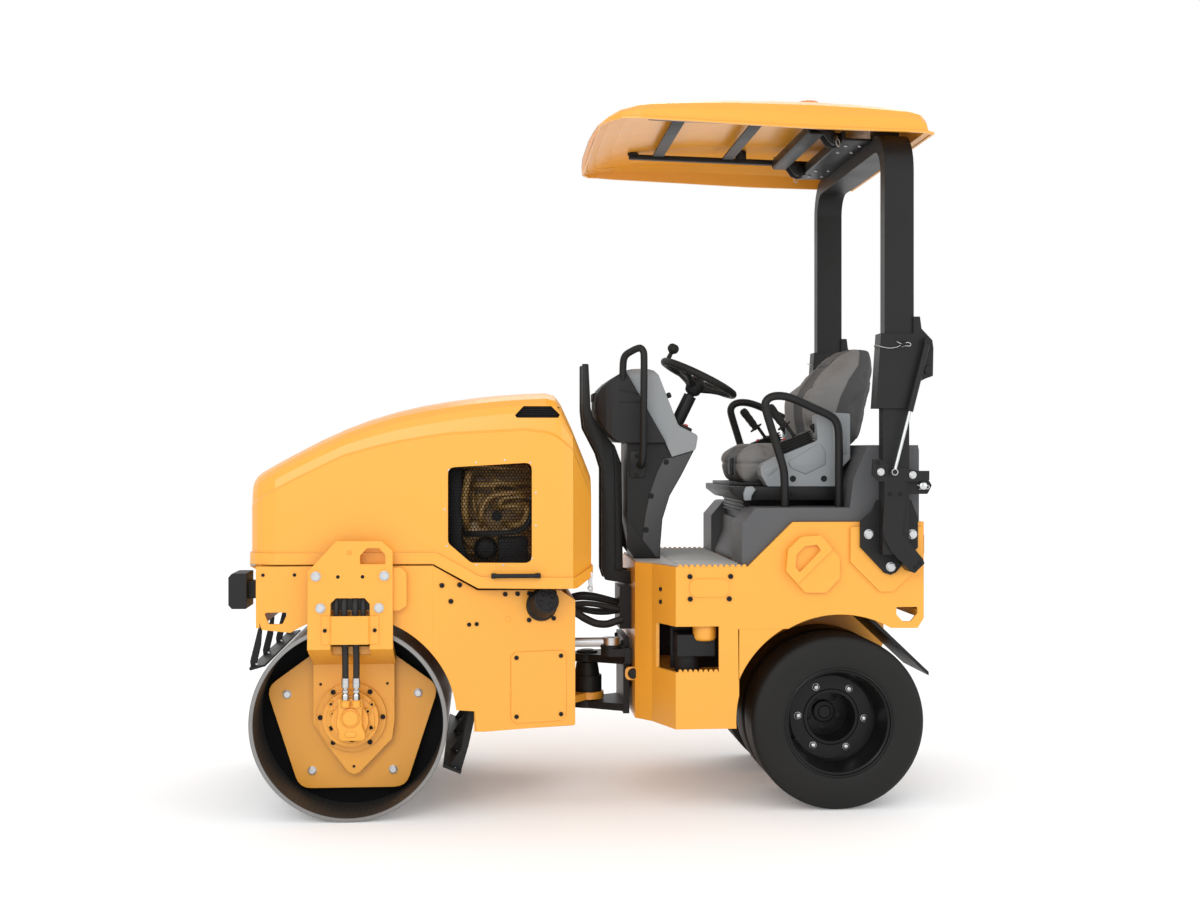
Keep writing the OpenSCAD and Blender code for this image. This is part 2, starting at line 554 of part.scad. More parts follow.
module rims_one() {
  translate([0, tyre_y[0], 0]) one_rim(50, 92);
  translate([0, tyre_y[1], 0]) one_rim(tyre_w - 70, 60);
  // hub drum between the two discs, open to the outside, with its flange at the bottom
  difference() {
    union() {
      bar_y(x_axle, tyre_r, 70, tyre_y[1] + 40, tyre_y[1] + tyre_w - 60);
      bar_y(x_axle, tyre_r, 100, tyre_y[1] + tyre_w - 70, tyre_y[0] + 62);
    }
    bar_y(x_axle, tyre_r, 90, tyre_y[1] + tyre_w - 56, 560);
    bar_y(x_axle, tyre_r, 42 + eps, 100, 560);
  }
}
module rims_left() color(blk) rims_one();
module rims_right() color(blk) mirror([0, 1, 0]) rims_one();

module tyre_scrapers() color(blk) both() {
  // the blade stays clear of the tyre, and its arm hangs on the well roof
  k = tyre_r - 321;
  side(rear([[1902, 690 + 2 * k], [1912, 700 + 2 * k], [hatch + rear_overhang, 498 + 2 * k], [hatch + rear_overhang, 484 + 2 * k]]), 150, 500);
  side(rear([[1930, 720 + 2 * k], [1960, 720 + 2 * k], [1960, 660 + 2 * k], [1940, 656 + 2 * k]]), 300, 320);
}

module tail_lamps() color([0.6, 0.06, 0.05]) both()
  box([R(2112), 380, 940], [R(2101), 470, 1000]);

module filter_unit() color(blk) {
  both() bar_z(R(1235), 400, 46, 312, 640);
  box([R(1330), 330, 560], [R(1190), 470, 640]);
}

module valve_box() color(blk) box([R(1054), -112, 622], [R(1008), 112, 785]);

// Roll-over hoop
post_w = rops_w - 6;
post_in = rops_y - post_w / 2;
post_out = rops_y + post_w / 2;
fold_x = R(2089);
strut_y = 631;
strut_lo = [R(1960), 1241];
strut_hi = [R(2082), 1713];
strut_n = norm(strut_hi - strut_lo);
strut_d = unit(strut_hi - strut_lo);
// A point on the strut's axis, counted from its upper eye
function strut_at(l) = [strut_hi[0] + l * strut_d[0], strut_y, strut_hi[1] + l * strut_d[1]];

module rops_posts() color(blk) both() {
  difference() {
    union() {
      side(rear([[1926, 940], [1926, fold_z + 28], [2024, fold_z + 28], [2024, 940]]), post_in, post_out);
      // base plate, the bent arm over it and the bracket of the gas strut
      side(rear([[1919, 1137], [1900, 1095], [1857, 1057], [1857, 964], [1947, 869], [1969, 862], [1990, 871], [2012, 898], [2072, 963], [2072, 1073], [2046, 1137]]), rf_half + 12, post_in + 1);
      side(rear([[1929, 1215], [1929, 1139], [1923, 1035], [1929, 1001], [1953, 955], [2025, 880], [2042, 873], [2078, 908], [2072, 925], [2006, 1001], [1997, 1018], [2008, 1139], [2010, 1215]]), post_out - 1, post_out + 10);
      side(rear([[2025, 880], [2042, 873], [2078, 908], [2072, 925], [2050, 947], [2000, 906]]), rf_half + 12, post_out);
      side(rear([[1884, 1230], [1888, 1286], [1914, 1288], [1937, 1271], [2050, 1245], [2096, 1245], [2096, 1211], [2050, 1206], [1914, 1206]]), post_out - 1, post_out + 10);
      // lug of the lock pin
      side(rear(soft([[2022, 1226], [2090, 1226], [2112, 1192], [2096, 1160], [2022, 1160]], 8)), rops_y - 14, rops_y + 14);
      // fold lugs
      side(rear(soft([[2022, fold_z - 44], [2022, fold_z + 24], [2095, fold_z + 22], [2110, fold_z], [2095, fold_z - 26]], 8)), rops_y - 16, rops_y + 16);
      // boss beside the strut's lower eye
      bar_y(R(1960), 1241, 10, post_out + 9, strut_y - 10);
    }
    bar_y(fold_x, fold_z, 12 + eps, rops_y - 20, rops_y + 20);
  }
}

sl_in = rops_y - rops_w / 2 - 10;
sl_out = rops_y + rops_w / 2 + 10;

module rops_hoop() color(blk) {
  both() {
    // leg
    box([R(2040), rops_y - rops_w / 2, fold_z + 34], [R(1932), rops_y + rops_w / 2, hoop_z - 150]);
    // sleeve round the post
    for (y = [sl_in, sl_out - 7]) side(rear([[1898, 1472], [1916, 1745], [2036, 1745], [2036, 1806], [2060, 1806], [2066, 1762], [2106, 1720], [2110, 1690], [2108, 1590], [2080, 1580], [2040, 1560], [2014, 1472]]), y, y + 7);
    side(rear([[1898, 1472], [1916, 1745], [1924, 1745], [1906, 1472]]), sl_in, sl_out);
    side(rear([[1919, 1700], [1922, 1745], [2040, 1745], [2040, 1700]]), sl_in, sl_out);
    bar_y(fold_x, fold_z, 12, sl_in, sl_out);
    // pad and pin of the strut's upper eye
    bar_y(R(2082), 1713, 16, sl_out - 1, strut_y - 13);
    bar_y(R(2082), 1713, 8, sl_out - 1, strut_y + 9);
  }
  // rounded corners and the top bar
  both() translate([R(2040), rops_y + rops_w / 2 - 150, hoop_z - 150]) rotate([90, 0, 90])
    linear_extrude(108) intersection() {
      difference() {
        circle(r = 150, $fn = 64);
        circle(r = 150 - rops_w, $fn = 64);
      }
      square(160);
    }
  box([R(2040), -(rops_y + rops_w / 2 - 150), hoop_z - rops_w], [R(1932), rops_y + rops_w / 2 - 150, hoop_z]);
}

// Canopy shell as rings from front to rear, bowed at the front, with a lip round its rim
can_edge = [[878, 2500], [940, 2508], [1005, 2506], [1311, 2494], [1654, 2479], [2069, 2471], [2109, 2466]];
can_top = [[878, 2506], [892, 2524], [905, 2535], [940, 2556], [1005, 2578], [1060, 2587], [1188, 2597], [1356, 2606], [1669, 2607], [1851, 2598], [2020, 2582], [2062, 2567], [2082, 2540], [2088, 2484], [2109, 2474]];
can_plan = [[878, canopy_half - 130], [884, canopy_half - 100], [892, canopy_half - 72], [905, canopy_half - 44], [940, canopy_half - 16], [1005, canopy_half], [2062, canopy_half], [2109, canopy_half - 10]];
can_b = [878, 884, 892, 905, 920, 940, 970, 1005, 1060, 1188, 1311, 1356, 1450, 1560, 1669, 1760, 1851, 1940, 2020, 2062, 2082, 2088, 2109];
function can_bow(b, y) = 26 * y * y / 313600 * at([[1000, 1], [1500, 0]], b);

function can_ring(b, o, s = 0) = let (
    c = at(can_edge, b), e = c - (o < 0 ? 40 : 0), z = max(at(can_top, b) + o, c + 12 + o), w = at(can_plan, b) + o, h = z - c - 9, l = o < 0 ? 0 : 6,
    half = [[w + l, e], [w + l, c - (o < 0 ? 20 : -7)], [w, c + (o < 0 ? -9 : 9)], [w - 3, c + 9 + h * 0.4], [w - 22, c + 9 + h * 0.68], [w - 70, c + 9 + h * 0.86], [w - 160, c + 9 + h * 0.95], [w - 320, c + 9 + h]])
  concat([for (q = half) [R(b + s + can_bow(b, q[0])), q[0], q[1]]], [for (i = [len(half) - 1 : -1 : 0]) [R(b + s + can_bow(b, half[i][0])), -half[i][0], half[i][1]]]);

module canopy() color(yel) difference() {
  loft([for (b = can_b) can_ring(b, 0)]);
  loft([for (b = can_b) can_ring(b, -canopy_t, b < 900 ? canopy_t : b > 2080 ? -canopy_t : 0)]);
}

module canopy_frame() color(blk) {
  both() {
    // rails under the shell, and the brackets that stand them on the hoop
    side(rear([[1060, 2571], [1060, 2547], [2040, 2520], [2040, 2546]]), 280, 320);
    box([R(2040), 268, hoop_z], [R(1932), 332, 2526]);
    for (b = [1110, 1570]) bar_z(R(b), 288, 9, 2550, at(can_top, b - 16) - canopy_t - 0.5);
  }
  for (b = [1190, 1486]) side(rear([[b, 2566 - (b - 1060) * 0.0276], [b, 2558 - (b - 1060) * 0.0276], [b + 46, 2556.7 - (b - 1060) * 0.0276], [b + 46, 2564.7 - (b - 1060) * 0.0276]]), -300, 300);
  bar_y(R(1800), 2538, 16, -300, 300);
}

module beacon() color([0.95, 0.35, 0.05]) difference() {
  translate([R(1777), 0, 2585]) {
    cylinder(r = 70, h = 58);
    translate([0, 0, 58]) cylinder(r1 = 62, r2 = 54, h = 78);
  }
  loft([for (b = can_b) can_ring(b, 0)]);
}

// Gas struts of the hoop: the barrel hangs on the hoop, the rod stands on the post
module strut_barrels() color(blk) both() difference() {
  union() {
    bar_y(strut_hi[0], strut_hi[1], 14, strut_y - 12, strut_y + 9);
    rod(strut_at(-8), strut_at(-260), 12);
  }
  bar_y(strut_hi[0], strut_hi[1], 8 + eps, strut_y - 20, strut_y + 20);
  rod(strut_at(-30), strut_at(-270), 6 + eps);
}

module strut_rods() color(stl) both() {
  rod(strut_at(8 - strut_n), strut_at(-225), 6);
  bar_y(strut_lo[0], strut_lo[1], 12, strut_y - 9, strut_y + 9);
}

// Operator's place
module seat_base() color(blk) {
  side(rear([[1426, floor_z + 0.2], [1426, 1120], [1418, 1150], [1418, 1190], [1822, 1190], [1822, body_z + 0.2], [1610.8, body_z + 0.2], [1443.8, floor_z + 0.2]]), -240, 240);
  side(rear([[1418, 1182.8], [1418, 1157], [1577, 1128], [1820, 1128], [1820, 1182.8]]), -345, 345);
}

module seat_cushion() color(gry) side(rear(soft([[1436, 1300], [1450, 1215], [1470, 1190.3], [1778, 1190.3], [1768, 1290], [1735, 1338], [1634, 1345], [1535, 1342], [1466, 1324]], 22)), -245, 245);

module seat_back() color(gry) side(rear(soft([[1786, 1190.3], [1780, 1300], [1752, 1380], [1736, 1440], [1734, 1510], [1742, 1548], [1815, 1636], [1885, 1722], [1945, 1736], [1990, 1735], [1985, 1700], [1972, 1560], [1902, 1356], [1884, 1338], [1832, 1216], [1818, 1190.3]], 16)), -235, 235);

module seat_consoles() color(lgr) both()
  side(rear(soft([[1522, 1256], [1536, 1270], [1606, 1302], [1741, 1357], [1736, 1454], [1801, 1463], [1866, 1459], [1866, 1288], [1834, 1252], [1834, 1183], [1550, 1183], [1525, 1224]], 8)), 262, 345);

// Levers on bellows that sit on the slope of the consoles
module control_levers() color(blk) both() {
  side(rear(soft([[1612, 1304.7], [1734, 1354.4], [1716, 1396], [1600, 1350]], 8)), 272, 334);
  rod([R(1662), 304, 1356], [R(1620), 304, 1415], 7);
  rod([R(1622), 304, 1412], [R(1570), 304, 1480], 16);
  translate([R(1570), 304, 1480]) sphere(r = 18);
}

module seat_hoops() color(blk) both()
  sweep(bend([for (q = [[1596, 1108.2], [1596, 1248], [1475, 1590], [1802, 1420], [1802, 1108.2]]) [R(q[0]), 405, q[1]]], 62), 14, [0, 1, 0]);

module console_column() color(gry)
  side(rear([[1062, floor_z + 5.2], [1164, floor_z + 5.2], [1164, 940], [1173, 1051], [1201, 1142], [1247, 1222], [1297, 1320], [1209, 1293.5], [1184, 1348.2], [1036, 1348.2], [1034, 1060]]), -140, 140);

// The head: a black pod in front and a grey cover with the switch panel behind
pod_line = [[1040, 1348.5], [1000, 1352], [975, 1370], [950, 1396], [926, 1434], [913, 1470], [911, 1502], [916, 1534], [932, 1560], [960, 1587], [1000, 1614], [1026, 1629], [1184, 1349]];
cover_line = [[1026.3, 1629.2], [1052, 1636], [1080, 1638], [1118, 1637], [1140, 1630], [1157, 1613], [1231, 1424], [1240, 1413], [1304, 1382], [1310, 1372], [1304, 1334], [1299.5, 1321.1], [1209.4, 1294], [1184.4, 1349.2]];
module console_head() color(blk) intersection() {
  side(rear(pod_line), -170, 170);
  translate([0, 0, 1300]) linear_extrude(400) polygon(soft([[R(1400), -170], [R(911), -170], [R(911), 170], [R(1400), 170]], 90, 6));
  across(soft([[-170, 1200], [170, 1200], [170, 1640], [-170, 1640]], 60, 6), R(1400), R(800));
}
module console_cover() color(lgr) intersection() {
  side(rear(cover_line), -150, 150);
  across(soft([[-150, 1200], [150, 1200], [150, 1640], [-150, 1640]], 44, 6), R(1400), R(800));
}

module console_guard() color(blk) both()
  side(rear([[855, 1655], [886, 1660], [888, 1500], [968, 1268], [976, 880], [1054, 850], [1054, 792], [944, 812], [936, 1263], [855, 1494]]), 62, 92);

module hand_rails() color(blk) both() {
  sweep(bend([[R(1085), 140.2, 1262], [R(1085), 250, 1262], [R(1085), 250, 1400]], 30), 14, [1, 0, 0]);
  sweep(bend([[R(1085), 250, 1399], [R(1100), 250, 1726], [R(1013), 187, 1700], [R(1012), 187, 1540]], 34), 14, unit([63, 87, 0]));
  bar_y(R(1012), 1556, 11, 170.2, 187);
}

col_lo = [R(1243), 0, 1420];
col_d = unit([R(1322) - R(1243), 0, 1608 - 1447]);
col_a = -atan2(1322 - 1243, 1608 - 1447);
module steering_column() color(blk) difference() {
  rod(col_lo - 5 * col_d, col_lo + 130 * col_d, 26);
  side(rear(cover_line), -100, 100);
  rod(col_lo + 20 * col_d, col_lo + 140 * col_d, 14 + eps);
}

hub = col_lo + 208 * col_d;
module steering_wheel() color(blk) {
  rod(col_lo + 30 * col_d, hub, 14);
  translate(hub) rotate([0, col_a, 0]) {
    rotate_extrude($fn = 64) translate([wheel_r, 0]) circle(r = grip_r, $fn = 24);
    translate([0, 0, -62]) cylinder(r = 34, h = 50);
    for (a = [60, 180, 300]) rotate([0, 0, a]) rod([24, 0, -40], [wheel_r - 4, 0, -2], 9);
    rotate([0, 0, 15]) translate([wheel_r, 0, 0]) {
      cylinder(r = 8, h = 46);
      translate([0, 0, 54]) sphere(r = 22);
    }
  }
}

front_frame();
hood_hinge_pins();
pivot_barrel();
drum_forks();
fork_covers();
drum_motors();
drum_scrapers();
engine();
radiator();
head_lamps();
fuel_cap();
service_covers();
drum_shell();
drum_plates();
drum_buffers();
hood();
hood_grilles();
hood_handles();
hitch_yoke();
steer_barrel();
steer_rod();
rear_frame();
floor_plate();
wheel_fenders();
tank_cap();
rear_cover();
axle_carrier();
tyres_left();
tyres_right();
rims_left();
rims_right();
tyre_scrapers();
tail_lamps();
filter_unit();
valve_box();
rops_posts();
rops_hoop();
canopy();
canopy_frame();
beacon();
strut_barrels();
strut_rods();
seat_base();
seat_cushion();
seat_back();
seat_consoles();
control_levers();
seat_hoops();
console_column();
console_head();
console_cover();
console_guard();
hand_rails();
steering_column();
steering_wheel();
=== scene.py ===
import math

import bmesh
import bpy
from mathutils import Matrix, Vector


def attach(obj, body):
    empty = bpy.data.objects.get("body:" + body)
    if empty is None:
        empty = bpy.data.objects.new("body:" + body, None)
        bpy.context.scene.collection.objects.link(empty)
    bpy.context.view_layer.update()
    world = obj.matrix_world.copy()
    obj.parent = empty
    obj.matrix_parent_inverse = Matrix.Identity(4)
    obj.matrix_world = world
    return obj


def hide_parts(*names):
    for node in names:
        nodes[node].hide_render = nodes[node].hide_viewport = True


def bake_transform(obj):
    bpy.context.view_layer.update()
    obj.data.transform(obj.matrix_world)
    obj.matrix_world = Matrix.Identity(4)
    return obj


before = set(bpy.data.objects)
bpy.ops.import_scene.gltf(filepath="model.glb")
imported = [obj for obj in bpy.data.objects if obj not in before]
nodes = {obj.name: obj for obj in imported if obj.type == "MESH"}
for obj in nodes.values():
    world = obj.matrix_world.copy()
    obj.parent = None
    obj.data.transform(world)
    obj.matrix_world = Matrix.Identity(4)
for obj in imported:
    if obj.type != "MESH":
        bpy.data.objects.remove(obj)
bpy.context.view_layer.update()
scene = bpy.context.scene

# Camera: the machine's left side from a little ahead of its middle, six metres off at chest height.
# The lens and the height are those that put the drum, the hitch and the canopy where they show.
EYE = Vector((0.373, 6.142, 1.3207))
LOOK = Vector((-0.0751, -0.9972, 0.0))
camera = bpy.data.objects.new("camera", bpy.data.cameras.new("camera"))
camera.data.sensor_width = 36.0
camera.data.lens = 46.5
camera.data.clip_end = 200.0
camera.location = EYE
camera.rotation_euler = LOOK.to_track_quat("-Z", "Y").to_euler()
scene.collection.objects.link(camera)
scene.camera = camera


# Floor and light: a plain white floor that runs back out of sight under an even white dome,
# with three soft boxes, as in a studio where a machine is photographed for a catalogue.
class Wire:
    """A socket inside a material. Sums, products and powers of wires add their Math nodes."""

    def __init__(self, tree, socket):
        self.tree = tree
        self.socket = socket

    def add(self, kind, settings=None, out=0, **sockets):
        """A new node of that kind: its settings first, then a value or a wire for each named socket."""
        node = self.tree.nodes.new("ShaderNode" + kind)
        for name, value in (settings or {}).items():
            if name == "stops":
                for index, (place, shade) in enumerate(value):
                    stops = node.color_ramp.elements
                    stop = stops[index] if index < 2 else stops.new(place)
                    stop.position = place
                    stop.color = (*shade, 1.0) if isinstance(shade, tuple) else (shade, shade, shade, 1.0)
            else:
                setattr(node, name, value)
        for name, value in sockets.items():
            key = int(name[1:]) if name[1:].isdigit() else name.replace("_", " ")
            if isinstance(value, Wire):
                self.tree.links.new(value.socket, node.inputs[key])
            else:
                node.inputs[key].default_value = value
        return Wire(self.tree, node.outputs[out])

    def math(self, operation, one, two=0.0):
        return self.add("Math", {"operation": operation}, i0=one, i1=two)

    def __add__(self, other):
        return self.math("ADD", self, other)

    def __sub__(self, other):
        return self.math("SUBTRACT", self, other)

    def __mul__(self, other):
        return self.math("MULTIPLY", self, other)

    def __truediv__(self, other):
        return self.math("DIVIDE", self, other)

    def __pow__(self, other):
        return self.math("POWER", self, other)

    def __rsub__(self, other):
        return self.math("SUBTRACT", other, self)

    __radd__ = __add__
    __rmul__ = __mul__

    def noise(self, scale, detail=3.0, rough=0.55):
        return self.add("TexNoise", {}, 0, Vector=self, Scale=scale, Detail=detail, Roughness=rough)

    def cells(self, scale, feature="F1", out="Distance"):
        return self.add("TexVoronoi", {"feature": feature}, out, Vector=self, Scale=scale)

    def ramp(self, *stops):
        """This value turned into a grey level or a colour by its stops."""
        return self.add("ValToRGB", {"stops": stops}, 0, Fac=self)

    def mix(self, low, high):
        """A colour between two colours, by this value."""
        low, high = [(*c, 1.0) if isinstance(c, tuple) else c for c in (low, high)]
        return self.add("Mix", {"data_type": "RGBA"}, 2, i0=self, i6=low, i7=high)

    def stretched(self, x, y, z):
        return self.add("Mapping", {}, 0, Vector=self, Scale=(x, y, z))

    def axis(self, letter):
        return self.add("SeparateXYZ", {}, letter, Vector=self)

    def around(self, x, z):
        """How far each point lies from a line across the machine at x and z."""
        return ((self.axis("X") - x) ** 2 + (self.axis("Z") - z) ** 2) ** 0.5

    def wave(self):
        return self.math("SINE", self)

    def edge(self, radius):
        """One on broken edges and nought on flats, from how far a rounded normal leans from the true one."""
        lean = self.add("VectorMath", {"operation": "DOT_PRODUCT"}, "Value",
                        i0=self.add("Bevel", {"samples": 4}, 0, Radius=radius),
                        i1=self.add("NewGeometry", {}, "Normal"))
        return lean.ramp((0.80, 1.0), (0.985, 0.0))

    def bump(self, depth, strength=1.0, rounding=0.0):
        """This value as a relief, depth metres high, over edges that are rounded a little."""
        extra = {}
        if rounding:
            extra["Normal"] = self.add("Bevel", {"samples": 4}, 0, Radius=rounding)
        return self.add("Bump", {}, 0, Height=self, Distance=depth, Strength=strength, **extra)


def finish(name, lay_out, **constants):
    """A material: constants go on the shader's sockets, and lay_out(place) gives what varies."""
    material = bpy.data.materials.new(name)
    material.use_nodes = True
    tree = material.node_tree
    shader = tree.nodes["Principled BSDF"]
    for socket, value in constants.items():
        shader.inputs[socket.replace("_", " ")].default_value = value
    place = Wire(tree, tree.nodes.new("ShaderNodeTexCoord").outputs["Object"])
    for socket, wire in lay_out(place).items():
        tree.links.new(wire.socket, shader.inputs[socket.replace("_", " ")])
    return material


FLOOR = 90.0
floor_mesh = bmesh.new()
bmesh.ops.create_grid(floor_mesh, x_segments=1, y_segments=1, size=FLOOR)
floor = bpy.data.objects.new("floor", bpy.data.meshes.new("floor"))
floor_mesh.to_mesh(floor.data)
floor_mesh.free()
scene.collection.objects.link(floor)
floor.data.materials.append(finish(
    "pale_floor",
    lambda place: {"Base_Color": place.noise(0.7).mix((0.90, 0.90, 0.90), (0.93, 0.93, 0.93))},
    Roughness=0.9, Specular_IOR_Level=0.1, Emission_Color=(1.0, 1.0, 1.0, 1.0), Emission_Strength=0.13))

scene.view_settings.view_transform = "Standard"
scene.world = bpy.data.worlds.new("studio")
scene.world.use_nodes = True
scene.world.node_tree.nodes["Background"].inputs["Color"].default_value = (1.0, 1.0, 1.0, 1.0)
scene.world.node_tree.nodes["Background"].inputs["Strength"].default_value = 1.0


def soft_box(name, place, target, size, power):
    lamp = bpy.data.objects.new(name, bpy.data.lights.new(name, "AREA"))
    lamp.data.shape = "RECTANGLE"
    lamp.data.size, lamp.data.size_y = size
    lamp.data.energy = power
    lamp.location = place
    lamp.rotation_euler = (Vector(target) - Vector(place)).to_track_quat("-Z", "Y").to_euler()
    scene.collection.objects.link(lamp)


soft_box("key", (1.8, 6.4, 3.6), (0.2, 0.3, 0.9), (4.0, 2.4), 120)
soft_box("fill", (-4.4, 4.6, 2.2), (-0.4, 0.2, 0.9), (2.5, 2.5), 40)
soft_box("rim", (-1.0, -4.5, 5.0), (0.0, 0.0, 1.2), (4.0, 1.5), 40)


# Drum hoses: two wire-braided rubber hoses a side, from crimped fittings on the drum motor up behind
# the fork's cover, where they bend through the window into the frame. Two more pass behind them.
def at(b, y, z):
    """A place in metres from millimetres behind the drum axle, to the left and up."""
    return Vector((0.85 - b / 1000, y / 1000, z / 1000))


def smooth_line(points, count=32):
    """A smooth line through the points, as evenly stepped as they are."""
    points = [2 * points[0] - points[1], *points, 2 * points[-1] - points[-2]]
    spans = len(points) - 3
    steps = max(2, count // spans)
    line = []
    for a, b, c, d in zip(points, points[1:], points[2:], points[3:]):
        for step in range(steps):
            t = step / steps
            line.append(0.5 * (2 * b + (c - a) * t + (2 * a - 5 * b + 4 * c - d) * t ** 2
                               + (3 * b - a - 3 * c + d) * t ** 3))
    return line + [points[-2]]


def hose_skin(place):
    haze = place.noise(22.0, 4.0)
    return {
        "Base_Color": haze.mix((0.012, 0.012, 0.012), (0.028, 0.027, 0.026)),
        "Roughness": haze * 0.2 + 0.42,
        "Normal": place.noise(700.0, 2.0).bump(0.0004, 0.35),
    }


hose_rubber = finish("hose_rubber", hose_skin, Specular_IOR_Level=0.3)


def tube(name, line, diameter, material):
    """A round tube along a line, as a curve object."""
    data = bpy.data.curves.new(name, "CURVE")
    data.dimensions = "3D"
    data.bevel_depth = diameter / 2
    data.bevel_resolution = 4
    data.use_fill_caps = True
    run = data.splines.new("POLY")
    run.points.add(len(line) - 1)
    for point, place in zip(run.points, line):
        point.co = (*place, 1.0)
    run.use_smooth = True
    data.materials.append(material)
    made = bpy.data.objects.new(name, data)
    scene.collection.objects.link(made)
    return made


def length_of(line):
    return sum((b - a).length for a, b in zip(line, line[1:]))


def hose(name, points, diameter, body, material=hose_rubber):
    """A hose or wire through its points, fixed to the machine at both ends."""
    line = smooth_line(points)
    made = tube(name, line, diameter, material)
    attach(made, body)
    length_of(line)
    return made


HANDS = ((1, "left"), (-1, "right"))
LONG_RUN = [(566, 492), (566, 530), (569, 575), (580, 618), (598, 658), (614, 698), (622, 738), (620, 772),
            (612, 796)]
SHORT_RUN = [(598, 640), (606, 672), (616, 704), (623, 740), (621, 772), (612, 796)]
DRUM_HOSES = ((-13, LONG_RUN, 0.023), (26, LONG_RUN, 0.023), (-40, SHORT_RUN, 0.019),
              (54, SHORT_RUN, 0.019))
for side, hand in HANDS:
    for index, (b, run, diameter) in enumerate(DRUM_HOSES):
        hose(f"drum_hose_{hand}_{index}", [at(b, side * y, z) for y, z in run], diameter, "front")


# Front frame: welded steel plate in satin yellow enamel, with a faint orange peel, a slight drift of
# tone and edges broken by the grinder, painted lighter as slight wear and a painted highlight. Bolted covers
# close its sides, and black cap screws hold them.
def wear(material, *names):
    """Puts a finish on CAD nodes, in their own slots."""
    for name in names:
        nodes[name].data.materials.clear()
        nodes[name].data.materials.append(material)


def piece(name, mesh, body, material, sharp=34):
    """Turns a bmesh into an object that rides on a body and wears a finish."""
    bmesh.ops.remove_doubles(mesh, verts=mesh.verts, dist=2e-6)
    bmesh.ops.recalc_face_normals(mesh, faces=mesh.faces)
    data = bpy.data.meshes.new(name)
    mesh.to_mesh(data)
    mesh.free()
    data.polygons.foreach_set("use_smooth", [True] * len(data.polygons))
    data.set_sharp_from_angle(angle=math.radians(sharp))
    data.materials.append(material)
    made = bpy.data.objects.new(name, data)
    scene.collection.objects.link(made)
    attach(made, body)
    return made


def turned(mesh, place, out, profile, steps=24):
    """A lathe-turned shape: radius and height pairs in millimetres, spun round a line through a place."""
    turn = Vector(out).normalized().to_track_quat("Z", "Y").to_matrix().to_4x4()
    spot = Matrix.Translation(place) @ turn
    rim = [mesh.verts.new(spot @ Vector((r / 1000, 0.0, h / 1000))) for r, h in profile]
    line = [mesh.edges.new(pair) for pair in zip(rim, rim[1:])]
    bmesh.ops.spin(mesh, geom=rim + line, cent=place, axis=turn.to_3x3() @ Vector((0, 0, 1)),
                   angle=2 * math.pi, steps=steps, use_merge=True)


def slab(mesh, outline, y0, y1, edge=0.0, segments=2):
    """A plate cut to a side outline, from one distance to the left to another, with its rims broken."""
    face = mesh.faces.new([mesh.verts.new(at(b, y0, z)) for b, z in outline])
    pulled = bmesh.ops.extrude_face_region(mesh, geom=[face])["geom"]
    moved = [part for part in pulled if isinstance(part, bmesh.types.BMVert)]
    bmesh.ops.translate(mesh, vec=(0.0, (y1 - y0) / 1000, 0.0), verts=moved)
    if edge:
        skin = {part for vert in moved for part in vert.link_faces} | {face}
        rims = list({line for part in skin for line in part.edges})
        bmesh.ops.bevel(mesh, geom=rims, offset=edge / 1000, offset_type="OFFSET", segments=segments,
                        profile=0.5, affect="EDGES", material=-1, clamp_overlap=True)


def hex_bolt(mesh, place, out, r=11.0):
    """A flat washer and a hexagon head with its corners chamfered."""
    turned(mesh, place, out, [(0, 0), (1.22 * r, 0), (1.22 * r, 2.2), (1.16 * r, 2.8), (0, 2.8)], 20)
    turned(mesh, place, out, [(0, 2.6), (1.1 * r, 2.6), (1.1 * r, 0.62 * r + 2), (0.92 * r, 0.74 * r + 2),
                              (0, 0.74 * r + 2)], 6)


def cap_screw(mesh, place, out, r=7.0):
    """A low round head with a socket in it."""
    turned(mesh, place, out, [(0, 0), (r, 0), (r, 0.55 * r), (0.85 * r, 0.75 * r), (0.5 * r, 0.78 * r),
                              (0.45 * r, 0.3 * r), (0, 0.3 * r)], 14)


def enamel(place):
    drift = place.noise(1.7)
    dust = place.noise(7.0, 5.0)
    # Edges are painted a lighter yellow: partly slight wear, partly a painted highlight where edges would
    # catch the light.
    edge_wear_and_highlight = place.edge(0.0025) * place.noise(60.0, 4.0).ramp((0.45, 0.0), (0.75, 1.0))
    coat = drift.mix((0.800, 0.352, 0.034), (0.850, 0.380, 0.040))
    return {
        "Base_Color": edge_wear_and_highlight.mix(coat, (0.90, 0.47, 0.10)),
        "Roughness": dust * 0.14 + 0.27,
        "Normal": place.noise(430.0, 2.0).bump(0.0004, 0.22, 0.003),
    }


yellow = finish("yellow_enamel", enamel, Coat_Weight=0.2, Coat_Roughness=0.25)
wear(yellow, "front_frame", "service_covers")


def powder(place):
    haze = place.noise(6.0, 4.0)
    # Edges are painted a lighter grey: partly slight wear, partly a painted highlight where edges would
    # catch the light.
    edge_wear_and_highlight = place.edge(0.002) * place.noise(90.0, 4.0).ramp((0.4, 0.0), (0.8, 0.6))
    return {
        "Base_Color": edge_wear_and_highlight.mix(haze.mix((0.0085, 0.0085, 0.0085), (0.0135, 0.0135, 0.0135)),
                               (0.045, 0.045, 0.045)),
        "Roughness": haze * 0.16 + 0.36,
        "Normal": place.noise(900.0, 2.0).bump(0.0004, 0.3, 0.003),
    }


black = finish("black_powder_coat", powder, Specular_IOR_Level=0.24)


def zinc_plate(place):
    haze = place.noise(45.0, 4.0)
    return {
        "Base_Color": haze.mix((0.46, 0.47, 0.48), (0.66, 0.67, 0.68)),
        "Roughness": haze * 0.22 + 0.22,
        "Normal": place.noise(500.0).bump(0.0003, 0.2, 0.001),
    }


zinc = finish("zinc_plate", zinc_plate, Metallic=1.0)
wear(zinc, "hood_hinge_pins")
wear(black, "pivot_barrel")

